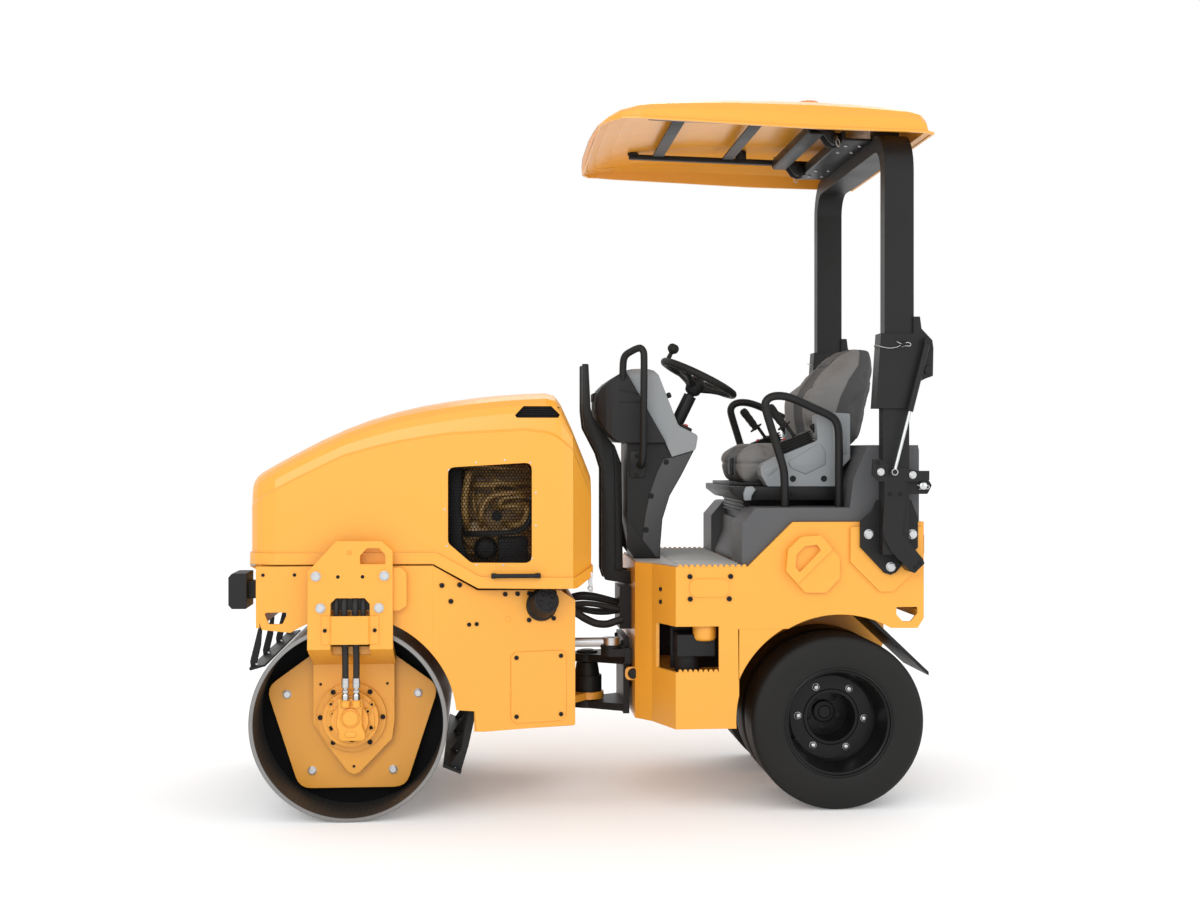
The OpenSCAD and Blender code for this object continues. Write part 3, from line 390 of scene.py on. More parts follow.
FRAME_HALF = 585
TAPER_FROM = 300
TAPER_IN, TAPER_RUN = 145, 515
LEAN = math.atan(TAPER_IN / TAPER_RUN)


def frame_side(b):
    """How far out the side plate lies, where it narrows towards the hitch."""
    return FRAME_HALF - (b - TAPER_FROM) * TAPER_IN / TAPER_RUN


screws, spare = bmesh.new(), bmesh.new()
for side in (1, -1):
    out = (-math.sin(LEAN), side * math.cos(LEAN), 0.0)
    for b, z, lift, r in ((329, 837, 0, 9), (392, 837, 0, 9), (361, 779, 0, 9), (556, 798, 0, 8.5),
                          (601, 798, 0, 8.5), (643, 798, 0, 8.5),
                          (737, 799, 0, 8.5), (426, 693, 0, 7.5), (453, 694, 0, 7.5), (643, 701, 0, 8.5),
                          (734, 704, 0, 8.5),
                          (597, 352, 4, 8), (761, 352, 4, 8), (597, 566, 4, 8), (761, 566, 4, 8)):
        cap_screw(screws, at(b, side * (frame_side(b) + lift * 1.02), z), out, r)
    turned(spare, at(566, side * frame_side(566), 706), out, [(0, 2.5), (9, 2.5), (10.5, 1.5), (11, 0)], 24)
    for b, z in ((-300, 878), (-190, 878)):
        cap_screw(screws, at(b, side * FRAME_HALF, z), (0, side, 0), 6)
piece("frame_plugs", spare, "front", yellow)
piece("frame_screws", screws, "front", black)

# Flange of the engine bay: a yellow angle along the top of each frame side that the hood shuts on,
# seen through the narrow gap under the hood's lip. It is spot welded to the side plate.
flange = bmesh.new()
for side in (1, -1):
    slab(flange, [(-318, 904), (300, 904), (300, 936), (-318, 936)], side * 556, side * 548, 1.5)
piece("hood_flange", flange, "front", yellow)


# Fork plates: thick flame-cut plates bolted to the frame's pads, which carry the drum. Zinc hexagon bolts
# hold them, black screws fill the spare holes, and a bulged cover guards the hoses in the window.
wear(yellow, "drum_forks", "fork_covers")
bolts, screws, back = bmesh.new(), bmesh.new(), bmesh.new()
for side in (1, -1):
    out = (0, side, 0)
    for b, z in ((-110, 876), (129, 877), (-94, 764), (110, 764)):
        hex_bolt(bolts, at(b, side * 636, z), out, 14.5)
    for b, z, y, r in ((-33, 874, 630, 8), (53, 874, 630, 8), (-78, 686, 640, 7), (96, 686, 640, 7),
                       (-113, 468, 440, 5), (128, 469, 440, 5), (7, 168, 440, 5)):
        cap_screw(screws, at(b, side * y, z), out, r)
    slab(back, [(-58, 754), (77, 754), (77, 796), (-58, 796)], side * 616.3, side * 617.2)
piece("fork_bolts", bolts, "front", zinc)
piece("fork_screws", screws, "front", black)
piece("fork_window_backs", back, "front", black)
plugs = bmesh.new()
for side in (1, -1):
    turned(plugs, at(8, side * 628, 960), (0, side, 0), [(0, 0), (7.8, 0), (7.8, 7), (6.4, 8.2), (2.5, 8.2),
                                                         (2.2, 6.5), (0, 6.5)], 18)
piece("fork_plugs", plugs, "front", yellow)


# Drum: a rolled shell ground bright outside by the road, sprayed black inside, with a pentagon drive
# plate bolted through rubber buffers to each web.
def drum_skin(place):
    reach = place.around(0.85, 0.35)
    inside = (reach / 0.36).ramp((0.0, 1.0), (0.9285, 1.0), (0.9325, 0.0))
    streak = place.stretched(0.6, 55.0, 0.6).noise(6.0, 6.0)
    haze = place.noise(5.0, 5.0)
    bright = haze.mix((0.21, 0.207, 0.203), (0.34, 0.336, 0.33))
    return {
        "Base_Color": inside.mix(bright, (0.004, 0.004, 0.004)),
        "Metallic": 1.0 - inside,
        "Roughness": inside * 0.18 + (streak * 0.22 + 0.24),
        "Normal": streak.bump(0.0005, 0.15, 0.002),
    }


wear(finish("rolled_drum_steel", drum_skin, Specular_IOR_Level=0.1), "drum_shell")
wear(yellow, "drum_plates")


def rubber_skin(place):
    haze = place.noise(9.0, 5.0)
    return {
        "Base_Color": haze.mix((0.008, 0.008, 0.008), (0.015, 0.015, 0.014)),
        "Roughness": haze * 0.2 + 0.5,
        "Normal": place.noise(320.0).bump(0.0004, 0.3, 0.002),
    }


rubber = finish("black_rubber", rubber_skin, Specular_IOR_Level=0.25)
wear(rubber, "drum_buffers")
wear(black, "drum_scrapers")
DRUM_UP = 350


def on_circle(b, y, z, radius, degrees):
    """A place on a circle round a line across the machine, in degrees from its top towards the rear."""
    turn = math.radians(degrees)
    return at(b + radius * math.sin(turn), y, z + radius * math.cos(turn))


bolts = bmesh.new()
for side in (1, -1):
    for corner in range(5):
        hex_bolt(bolts, on_circle(0, side * 404, DRUM_UP, 250, -72 * corner), (0, side, 0), 13)
piece("drum_plate_bolts", bolts, "drum", zinc)
scraper_bolts = bmesh.new()
for side in (1, -1):
    for y in (186, 506):
        hex_bolt(scraper_bolts, at(-330, side * y + 6, 552), (0.25, 0, 1), 6)
        hex_bolt(scraper_bolts, at(372, side * y + 6, 172), (-0.35, 0, -1), 6)
piece("scraper_bolts", scraper_bolts, "front", zinc)


# Drum motors: yellow iron castings on the forks' lower plates, with a flange held by black screws, a port
# block, a round cap and machined hose fittings.
wear(yellow, "drum_motors")
BOSS_DRAW = 0.92
casting, screws, fittings = bmesh.new(), bmesh.new(), bmesh.new()
for side in (1, -1):
    out = (0, side, 0)
    slab(casting, [(-40, 433), (45, 433), (49, 405), (45, 392), (45, 330), (57, 308), (57, 290), (49, 281),
                   (-29, 281), (-37, 290), (-37, 312), (-45, 332), (-45, 356), (-40, 374)], side * 534,
                   side * 560, 4)
    turned(casting, at(4, side * 558, 364), out, [(0, 9), (26, 9), (27, 6), (30, 6), (31, 9), (34, 8),
                                                  (36, 0)], 40)
    slab(casting, [(-16, 308), (-10, 314), (18, 314), (24, 308), (24, 301), (18, 295), (-10, 295),
                   (-16, 301)], side * 558, side * 564, 2)
    turned(casting, at(0, side * 500, DRUM_UP), out, [(66, 0), (84, 0), (86, -3), (86, 6), (82, 8),
                                                      (66, 8)], 48)
    for b, z in ((-76, 411), (83, 408), (-76, 316), (83, 316), (6, 268)):
        boss_b, boss_z = b * BOSS_DRAW, DRUM_UP + (z - DRUM_UP) * BOSS_DRAW
        turned(casting, at(boss_b, side * 498, boss_z), out, [(0, 10), (9, 10), (11, 7), (12, 0)], 14)
        cap_screw(screws, at(boss_b, side * 507, boss_z), out, 5)
    for b, z in ((-62, 372), (60, 332), (63, 380)):
        turned(casting, at(b, side * 506, z), out, [(0, 12), (10, 12), (12, 9), (12, 0)], 14)
        cap_screw(screws, at(b, side * 517, z), out, 5)
    for turn in (36, 90, 144, 216, 270, 324):
        cap_screw(screws, on_circle(0, side * 456, DRUM_UP, 113, turn), out, 9)
    up = (0, 0, 1)
    for b in (-13, 26):
        turned(fittings, at(b, side * 566, 428), up, [(0, 0), (12.5, 0), (13.5, 1.5), (13.5, 20),
                                                      (12.5, 22), (9, 22), (9, 28), (0, 28)], 6)
        turned(fittings, at(b, side * 566, 455), up, [(0, 0), (11, 0), (12.5, 2), (12.5, 10), (8.5, 12),
                                                      (8.5, 18), (13.5, 19), (14, 22), (14, 34), (13.2, 35),
                                                      (14, 36), (14, 44), (13.2, 45), (14, 46), (14, 52),
                                                      (12, 54), (0, 54)], 24)
        turned(casting, at(b, side * 566, 405), up, [(0, 0), (17, 0), (17, 20), (14, 24), (0, 24)], 20)
piece("motor_castings", casting, "front", yellow)
piece("motor_screws", screws, "front", black)
piece("hose_fittings", fittings, "front", zinc)


# Head lamps: black moulded boxes bolted to the frame's nose. A clear ribbed lens closes each one, over
# two bright reflectors.
def moulding(dark, light, scale=520.0):
    def lay_out(place):
        haze = place.noise(5.0, 4.0)
        return {
            "Base_Color": haze.mix(dark, light),
            "Roughness": haze * 0.12 + 0.46,
            "Normal": place.cells(scale).bump(0.0005, 0.35, 0.004),
        }
    return lay_out


grey = finish("dark_grey_moulding", moulding((0.052, 0.054, 0.057), (0.066, 0.068, 0.071)),
              Specular_IOR_Level=0.3)
soot = finish("black_moulding", moulding((0.008, 0.008, 0.009), (0.013, 0.013, 0.014)),
              Specular_IOR_Level=0.28)
wear(soot, "head_lamps")


def lens_skin(tint):
    def lay_out(place):
        return {
            "Base_Color": place.noise(12.0).mix(tint, tuple(0.8 * c for c in tint)),
            "Normal": (place.axis("Y") * 520.0).wave().bump(0.001, 0.5),
        }
    return lay_out


clear = finish("clear_lens", lens_skin((0.86, 0.88, 0.9)), Roughness=0.08, Transmission_Weight=0.6,
               IOR=1.45)
reflectors, lenses = bmesh.new(), bmesh.new()
for side in (1, -1):
    for y in (442, 514):
        turned(reflectors, at(-417, side * y, 819), (1, 0, 0),
               [(0, 0.4), (9, 0.5), (9, 3), (22, 1.5), (31, 6), (34, 6.5), (34, 0)], 28)
    slab(lenses, [(-424.6, 780), (-424.6, 858), (-423.2, 858), (-423.2, 780)], side * 406, side * 549)
piece("lamp_reflectors", reflectors, "front", zinc)
piece("lamp_lenses", lenses, "front", clear)


# Engine and cooler: a painted iron block in the bay, seen through the grilles, with gold covers, bent
# pipes along it, black fittings and a rubber elbow each side, and the finned cooler ahead of it.
def iron_paint(place):
    grime = place.noise(14.0, 6.0)
    return {
        "Base_Color": grime.ramp((0.35, (0.06, 0.040, 0.016)), (0.62, (0.24, 0.155, 0.055))),
        "Roughness": grime * 0.3 + 0.4,
        "Normal": place.noise(140.0, 4.0).bump(0.001, 0.4, 0.004),
    }


def cooler_fins(place):
    return {
        "Base_Color": place.noise(30.0).mix((0.018, 0.018, 0.018), (0.04, 0.04, 0.04)),
        "Normal": (place.axis("Z") * 900.0).wave().bump(0.002, 0.6),
    }


iron = finish("engine_paint", iron_paint)
wear(iron, "engine")
wear(finish("cooler_fins", cooler_fins, Roughness=0.5), "radiator")
gold = finish("gold_engine_paint", lambda place: {
    "Base_Color": place.noise(40.0, 4.0).mix((0.25, 0.135, 0.030), (0.44, 0.26, 0.075)),
    "Roughness": place.noise(25.0) * 0.2 + 0.3}, Coat_Weight=0.2)


def pipe(name, points, diameter, body, material):
    """A rigid pipe or wire bent through its points."""
    made = tube(name, smooth_line(points), diameter, material)
    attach(made, body)
    return made


def placed(run, side=1):
    """The places of a run on one side of the machine."""
    return [at(b, side * y, z) for b, y, z in run]


ELBOW = ((410, 410, 1012), (430, 455, 1014), (480, 480, 1016), (540, 486, 1018), (600, 484, 1024),
         (636, 480, 1046),
         (652, 470, 1086), (656, 440, 1130))
PIPES = (
    (0.026, ((432, 1262), (424, 1236), (415, 1190), (408, 1140), (410, 1085), (416, 1036))),
    (0.020, ((470, 1036), (468, 1080), (478, 1124), (505, 1150), (545, 1160), (600, 1166), (660, 1168))),
    (0.018, ((535, 1092), (536, 1120), (548, 1140), (580, 1148), (620, 1150), (660, 1150))),
    (0.022, ((420, 1196), (460, 1194), (505, 1194), (540, 1200), (580, 1196), (660, 1204))),
    (0.017, ((520, 1108), (560, 1114), (610, 1120), (660, 1122))),
    (0.024, ((556, 1046), (590, 1046), (618, 1052), (634, 1076), (636, 1110), (620, 1132))),
    (0.006, ((466, 1226), (520, 1214), (580, 1190), (640, 1160))),
    (0.006, ((514, 1262), (516, 1220), (513, 1160), (514, 1100))),
    (0.008, ((442, 1180), (440, 1140), (448, 1100), (462, 1080))),
    (0.014, ((380, 1256), (470, 1262), (560, 1256), (640, 1262))),
)
blocks, fittings = bmesh.new(), bmesh.new()
for side, hand in HANDS:
    for k, (diameter, run) in enumerate(PIPES):
        depth = 470 - 9 * (k % 4)
        ends = (0, len(run) - 1)
        bent = [(b, depth - 60 * (n in ends), z) for n, (b, z) in enumerate(run)]
        pipe(f"engine_pipe_{hand}_{k}", placed(bent, side), diameter, "front", gold)
    slab(blocks, [(400, 930), (400, 1250), (470, 1268), (660, 1268), (660, 930)], side * 184, side * 372,
         18, 3)
    for b, z, r in ((470, 1130, 34), (540, 1140, 40), (610, 1120, 36), (450, 1010, 52), (590, 1000, 58)):
        turned(blocks, at(b, side * 366, z), (0, side, 0), [(0, 52), (r * 0.5, 52), (r * 0.7, 46),
                                                            (r * 0.9, 44), (r, 36), (r, 0)], 28)
    slab(fittings, [(352, 930), (352, 1262), (398, 1262), (404, 1100), (398, 990), (420, 930)], side * 400,
         side * 470, 6)
    turned(fittings, at(526, side * 470, 1080), (0, side, 0),
           [(0, 24), (9, 24), (10, 18), (17, 18), (19, 14), (19, 0)], 24)
    slab(fittings, [(530, 900), (530, 1004), (640, 1004), (640, 900)], side * 420, side * 462, 8)
    turned(fittings, at(486, side * 440, 960), (0, side, 0), [(0, 30), (20, 30), (30, 26), (40, 10),
                                                              (44, 0)], 30)
    pipe(f"coolant_elbow_{hand}", placed(ELBOW, side), 0.020, "front", hose_rubber)
piece("engine_covers", blocks, "front", gold)
piece("engine_fittings", fittings, "front", soot)


# Hood: one thin moulded shell over the engine, enamelled like the frame, hinged at its nose. Riveted black
# mesh of hexagons fills its side windows, slats back its vents, and zinc latches hold its tail.
def within(outline, b, z):
    """Whether a place lies inside a side outline."""
    crossings = 0
    for (b0, z0), (b1, z1) in zip(outline, outline[1:] + outline[:1]):
        if (z0 > z) != (z1 > z) and b < b0 + (z - z0) * (b1 - b0) / (z1 - z0):
            crossings += 1
    return crossings % 2 == 1


wear(yellow, "hood")
wear(black, "hood_handles")
WINDOW = [(341, 1268), (661, 1286), (661, 905), (429, 907), (341, 984)]
CELL = 12.0
mesh_sheet = bmesh.new()
for side in (1, -1):
    for row in range(40):
        for column in range(30):
            b, z = 338 + CELL * (column + 0.5 * (row % 2)), 900 + CELL * math.sqrt(0.75) * row
            if within(WINDOW, b, z):
                upright = Matrix.Translation(at(b, side * 563,
                                                z)) @ Matrix.Rotation(math.radians(90), 4, "X")
                bmesh.ops.create_circle(mesh_sheet, cap_ends=True, segments=6, matrix=upright,
                                        radius=CELL / math.sqrt(3) / 1000)
bmesh.ops.remove_doubles(mesh_sheet, verts=mesh_sheet.verts, dist=1e-4)
bmesh.ops.wireframe(mesh_sheet, faces=mesh_sheet.faces, thickness=0.0031, offset=0.0, use_replace=True,
                    use_boundary=True, use_even_offset=False)
mesh_black = finish("grille_black", lambda place: {
    "Base_Color": place.noise(30.0).mix((0.003, 0.003, 0.003), (0.006, 0.006, 0.006)),
    "Roughness": place.noise(60.0) * 0.2 + 0.4}, Specular_IOR_Level=0.15)
grille = piece("grille_mesh", mesh_sheet, "hood", mesh_black)
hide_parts("hood_grilles")
vents, latch, feet, rivets = bmesh.new(), bmesh.new(), bmesh.new(), bmesh.new()
for side in (1, -1):
    for b, z in ((353, 1250), (451, 1276), (554, 1285), (645, 1275), (665, 1167), (666, 1049), (652, 931),
                 (549, 908), (453, 909), (347, 977), (339, 1108)):
        turned(rivets, at(b, side * 573.8, z), (0, side, 0), [(0, 1.8), (2.4, 1.6), (3.6, 0.8), (4.0, 0)],
               12)
piece("grille_rivets", rivets, "hood", zinc)
for side in (1, -1):
    slab(vents, [(584, 1428), (580, 1446), (614, 1490), (730, 1490), (764, 1448), (756, 1428)], side * 524,
         side * 530)
    for k in range(5):
        z = 1441 + 8 * k
        slab(vents, [(590, z), (590, z + 3), (752, z + 3), (752, z)], side * 529, side * 541)
    for b in (515, 672):
        slab(feet, [(b - 10, 862), (b - 10, 880), (b + 10, 880), (b + 10, 862)], side * 582, side * 606, 3)
    slab(feet, [(515, 863), (515, 879), (672, 879), (672, 863)], side * 600, side * 609, 3)
    slab(latch, [(866, 800), (862, 840), (868, 872), (880, 872), (876, 840), (880, 800)], side * 452,
         side * 462, 2)
    turned(latch, at(868, side * 452, 812), (0, side, 0), [(0, 0), (9, 0), (9, 16), (7, 18), (0, 18)], 18)
turned(latch, at(872, 0, 1010), (-1, 0, 0), [(0, 0), (30, 0), (31, 3), (28, 6), (16, 7), (14, 16), (0, 17)],
       28)
slab(latch, [(876, 985), (892, 985), (892, 1035), (876, 1035)], -9, 9, 3)
piece("hood_vent_mesh", vents, "hood", soot)
piece("hood_handle_feet", feet, "hood", black)
piece("hood_latch", latch, "hood", zinc)

# Fuel cap: a moulded black cap with finger holes on a filler neck that leans up out of the left side,
# sealed to the plate by a broad rubber collar.
cap = bmesh.new()
level = Vector((-math.sin(LEAN), math.cos(LEAN), 0.0))
lean = (level + Vector((0.0, 0.0, 0.36))).normalized()
spot = at(689, frame_side(689), 755)
turned(cap, spot, level, [(0, 0.3), (59, 0.3), (59, 8), (56, 13), (50, 16), (0, 16)], 44)
turned(cap, spot, lean, [(52, -6), (52, 14), (49, 34), (47, 46), (44, 48), (44, 51), (47.5, 52), (47.5, 64),
                         (45, 67), (40, 68), (38, 65.5), (0, 65.5)], 44)
for turn in range(4):
    swing = math.radians(90 * turn + 30)
    across = Vector((math.cos(LEAN), math.sin(LEAN), 0.0))
    hole = spot + lean * 0.064 + (across * math.cos(swing) + lean.cross(across) * math.sin(swing)) * 0.025
    turned(cap, hole, lean, [(0, -1), (7, -1), (8, 3.4), (11, 3.4), (12, 1)], 18)
filler = piece("fuel_filler", cap, "front", soot)
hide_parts("fuel_cap")


# Hitch: black steel castings on the king pin, bolted up, with a zinc steering rod, the lock's bolt on the
# rear half and a bundle of hoses between the two halves.
wear(black, "hitch_yoke", "steer_barrel", "valve_box")
wear(zinc, "steer_rod")
lock, bolts, caps = bmesh.new(), bmesh.new(), bmesh.new()
hex_bolt(lock, at(1048, 247, 467), (0, 1, 0), 17)
piece("hitch_lock_bolt", lock, "rear", black)
for y, z in ((-130, 570), (130, 570), (-130, 320), (130, 320)):
    hex_bolt(bolts, at(1018, y, z), (1, 0, 0), 10)
piece("hitch_plate_bolts", bolts, "hitch", black)
for b, y, z in ((888, 0, 518), (968, 170, 560)):
    turned(caps, at(b, y, z), (0, 0, 1), [(0, 0), (42, 0), (42, 6), (38, 9), (0, 9)], 32)
piece("hitch_caps", caps, "hitch", black)
STATIONS = (806, 838, 874, 914, 956, 992, 1020)
DRAWN_IN = 0.12
HITCH_HOSES = (
    (0.030, 128, (690, 686, 664, 646, 642, 652, 660)), (0.022, 92, (712, 718, 720, 716, 708, 700, 694)),
    (0.020, 54, (700, 698, 690, 682, 680, 684, 688)), (0.022, -46, (726, 738, 744, 740, 730, 720, 714)),
    (0.020, -72, (694, 690, 684, 678, 676, 682, 692)), (0.020, 20, (728, 734, 736, 732, 724, 716, 710)),
)
for k, (diameter, y, heights) in enumerate(HITCH_HOSES):
    line = smooth_line([at(b, y * (1.0 - DRAWN_IN * (b - STATIONS[0]) / (STATIONS[-1] - STATIONS[0])), z)
                        for b, z in zip(STATIONS, heights)])
    shape = tube(f"hitch_hose_{k}", line, diameter, hose_rubber)
    graph = bpy.context.evaluated_depsgraph_get()
    skin = bpy.data.meshes.new_from_object(shape.evaluated_get(graph))
    bpy.data.objects.remove(shape)
    hitch_hose = bpy.data.objects.new(f"hitch_hose_{k}", skin)
    scene.collection.objects.link(hitch_hose)
    tuple(at(826, 0, 640))
    tuple(at(1000, 0, 640))
    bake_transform(hitch_hose)
    length_of(line)


# Rear frame: welded yellow plate, stepped in to the hitch. Its floor edges and step windows have flame-cut
# teeth for grip, black screws hold its side cover, and a filter bowl hangs behind each step window. Thin
# black liners close those windows, and black louvres fill the opening in the rear plate.
wear(yellow, "rear_frame", "rear_cover", "tank_cap")
wear(soot, "filter_unit")
AXLE_B, AXLE_UP = 1776, 321
ARCH_R = 397
LOUVRE_PITCH = 29
bowl = bmesh.new()
for side in (1, -1):
    turned(bowl, at(1293, side * 452, 616), (0, 0, 1), [(0, 0), (28, 0), (37, 3), (42, 9), (44, 18),
                                                        (44, 72), (0, 72)], 36)
piece("filter_bowls", bowl, "rear", yellow)
liner, arches = bmesh.new(), bmesh.new()
for side in (1, -1):
    slab(liner, [(1180, 500), (1180, 720), (1392, 720), (1392, 500)], side * 330, side * 336, 1)
    sweep = [math.radians(22.8 + 37 * k / 12) for k in range(13)]
    arch = [(AXLE_B - ARCH_R * math.cos(turn), AXLE_UP + ARCH_R * math.sin(turn)) for turn in sweep]
    slab(arches, [(1408, 664), *arch], side * 506, side * 518)
for k in range(7):
    z = 774 + LOUVRE_PITCH * k
    slab(liner, [(2082, z), (2082, z + 6), (2099, z + 28), (2099, z + 22)], -299, 299, 1)
slab(liner, [(2076, 771), (2076, 979), (2080, 979), (2080, 771)], -299.5, 299.5)
piece("filter_liner", liner, "rear", soot)
piece("wheel_arch_webs", arches, "rear", yellow)


def teeth(mesh, b0, b1, foot, pitch, tall, y0, y1):
    """A strip of plate with a row of round-topped teeth along its upper edge."""
    count = round((b1 - b0) / pitch)
    crest = []
    for k in range(count):
        for share, lift in ((0.08, 0.0), (0.22, 0.75), (0.40, 1.0), (0.60, 1.0), (0.78, 0.75), (0.92, 0.0)):
            crest.append((b0 + (k + share) * (b1 - b0) / count, foot + tall * lift))
    slab(mesh, [(b0, foot - 4), (b0, foot), *crest, (b1, foot), (b1, foot - 4)], y0, y1)


strips, screws = bmesh.new(), bmesh.new()
for side in (1, -1):
    teeth(strips, 1184, 1442, 892, 21.5, 10, side * 508, side * 517.6)
    teeth(strips, 1186, 1336, 509, 19, 9, side * 506.4, side * 517.6)
    for b, z in ((1230, 858), (1380, 858), (1231, 776), (1375, 776)):
        cap_screw(screws, at(b, side * 518, z), (0, side, 0), 9.5)
    for z in (803, 756):
        cap_screw(screws, at(1137, side * (335 + 26 * 183 / 67), z), (0.939, side * 0.344, 0), 8)
piece("grip_teeth", strips, "rear", yellow)
piece("rear_frame_screws", screws, "rear", black)


# Floor: ribbed aluminium plate in a grey anti-slip coat, which lies on the rear frame from the console
# to the seat.
def floor_coat(place):
    grit = place.cells(260.0)
    haze = place.noise(4.0, 5.0)
    return {
        "Base_Color": haze.mix((0.36, 0.365, 0.355), (0.46, 0.465, 0.455)),
        "Roughness": grit * 0.2 + 0.45,
        "Normal": grit.bump(0.001, 0.4, 0.003),
    }


wear(finish("anti_slip_coat", floor_coat), "floor_plate")


# Fenders: rotation-moulded boxes in grained dark grey over the wheel wells and across the rear. A heel
# panel of the same moulding closes the front below the seat.
fender_grey = finish("fender_moulding", moulding((0.072, 0.074, 0.078), (0.092, 0.094, 0.098), 380.0),
                     Specular_IOR_Level=0.35)
wear(fender_grey, "wheel_fenders")
heel = bmesh.new()
slab(heel, [(1436, 893.4), (1438, 912), (1466, 990), (1469, 1050), (1476, 1056), (1500, 1056),
            (1500, 893.4)], -344, 344, 3)
piece("heel_panel", heel, "rear", fender_grey)


# Rear wheels: slick compactor tyres with plain walls, in pairs on black pressed rims. Six
# studs hold each rim, and the hub's drilled flange stands in the deep dish with a valve beside it.
def tyre_skin(place):
    reach = place.around(-0.926, 0.321)
    tread = (reach / 0.34).ramp((0.905, 0.0), (0.93, 1.0))
    haze = place.noise(8.0, 5.0)
    wall = haze.mix((0.0095, 0.0093, 0.009), (0.0155, 0.015, 0.0145))
    fine = (reach / 0.34).ramp((0.60, 1.0), (0.64, 1.0), (0.66, 0.0)) * (reach * 900.0).wave()
    return {
        "Base_Color": tread.mix(wall, (0.0055, 0.0048, 0.0045)),
        "Roughness": haze * 0.22 + 0.46,
        "Normal": (place.noise(260.0) * 0.4 + fine).bump(0.0008, 0.35),
    }


tyre_rubber = finish("tyre_rubber", tyre_skin, Specular_IOR_Level=0.2)
rim_black = finish("rim_enamel", lambda place: {
    "Base_Color": place.noise(9.0, 4.0).mix((0.005, 0.005, 0.005), (0.009, 0.009, 0.009)),
    "Roughness": place.noise(14.0) * 0.15 + 0.24,
    "Normal": place.noise(500.0).bump(0.0004, 0.2, 0.002)}, Specular_IOR_Level=0.22)
wear(rim_black, "rims_left", "rims_right")
wear(black, "axle_carrier", "tyre_scrapers")
HALF_TYRE = [(321, 0), (321, 40), (321, 66), (320.3, 73), (317.5, 80.5), (312.5, 87), (305.5, 92),
             (297.5, 95.3), (286, 98), (272, 100),
             (258, 101), (240, 101.2), (222, 100), (210, 98), (203, 95), (197, 88), (190.4, 80)]
TYRE_MIDDLE = 101.5
for side, hand in HANDS:
    casing, studs, hub, holes = bmesh.new(), bmesh.new(), bmesh.new(), bmesh.new()
    out = (0, side, 0)
    for y in (353, 136):
        profile = [(r, y + TYRE_MIDDLE - h) for r, h in reversed(HALF_TYRE[1:])]
        profile += [(r, y + TYRE_MIDDLE + h) for r, h in HALF_TYRE]
        turned(casing, at(AXLE_B, 0, AXLE_UP), out, profile, 112)
    tyre = piece(f"slick_tyres_{hand}", casing, f"{hand}_wheels", tyre_rubber, 60)
    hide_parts(f"tyres_{hand}")
    for k in range(6):
        spot = on_circle(AXLE_B, side * 414.8, AXLE_UP, 126, 60 * k - 27)
        turned(studs, spot, out, [(0, 11), (5, 10.8), (9, 9), (11.5, 5.5), (12, 2.5), (13.5, 2.2),
                                  (13.5, 0)], 22)
    turned(hub, at(AXLE_B, side * 548, AXLE_UP), out, [(191, -10), (191.5, -4), (194, 0.5), (197.5, 1.5),
                                                       (201, 0), (203, -4), (203, -9)], 72)
    turned(hub, at(AXLE_B, side * 415, AXLE_UP), out, [(90.5, -3), (90.5, 2), (92, 4.5), (97, 5),
                                                       (103, 3.5), (106, 0)], 56)
    turned(hub, at(AXLE_B, side * 302, AXLE_UP), out, [(0, 5), (22, 5), (26, 2), (34, 2), (40, 0.5),
                                                       (42.5, -4), (43, -18)], 40)
    for k in range(5):
        spot = on_circle(AXLE_B, side * 283.2, AXLE_UP, 64, 72 * k + 36)
        turned(holes, spot, out, [(0, 0.4), (12.5, 0.4), (13.2, 0)], 22)
    turned(holes, at(AXLE_B - 150, side * 445, AXLE_UP - 66), out,
           [(0, 50), (3.6, 50), (3.6, 36), (4.8, 34), (5.4, 0)], 14)
    piece(f"wheel_studs_{hand}", studs, f"{hand}_wheels", zinc)
    piece(f"wheel_hub_{hand}", hub, f"{hand}_wheels", rim_black)
    piece(f"hub_plugs_{hand}", holes, f"{hand}_wheels", soot)


# Tail lamps: red ribbed lenses on the rear plate, one each side. A black bezel of four strips frames
# each lens.
lamp_red = finish("red_lens", lens_skin((0.55, 0.012, 0.012)), Roughness=0.15, Coat_Weight=0.6)
wear(lamp_red, "tail_lamps")
bezels = bmesh.new()
for side in (1, -1):
    for y0, y1, z0, z1 in ((374, 380, 934, 1006), (470, 476, 934, 1006), (380, 470, 934, 940),
                           (380, 470, 1000, 1006)):
        slab(bezels, [(2101, z0), (2115, z0), (2115, z1), (2101, z1)], side * y0, side * y1, 1.5)
piece("tail_lamp_bezels", bezels, "rear", soot)


# Roll-over hoop: black square tube that folds on two pins. Zinc bolts and black screws hold its bases,
# lock pins with wire clips and lanyards hold it up, and two gas struts carry its weight as it folds.
wear(black, "rops_posts", "rops_hoop", "strut_barrels")
wear(zinc, "strut_rods")
LOCK_CLIP = ((2054, 596, 1194), (2066, 597, 1190), (2077, 598, 1188), (2092, 597, 1191), (2100, 596, 1186),
             (2092, 595, 1179), (2080, 594, 1180), (2062, 595, 1178))
SLEEVE_CLIP = ((1972, 618, 1714), (1984, 619, 1708), (1997, 620, 1706), (2012, 619, 1711),
               (2024, 618, 1706), (2020, 617, 1698), (2006, 616, 1699), (1990, 617, 1695))
LANYARD = ((1992, 616, 1704), (1972, 619, 1694), (1946, 620, 1690), (1922, 616, 1694), (1904, 604, 1700),
           (1897, 588, 1702), (1902, 572, 1698), (1914, 560, 1692))
WIRE = 0.003
bright, dark, pins, eyes = bmesh.new(), bmesh.new(), bmesh.new(), bmesh.new()
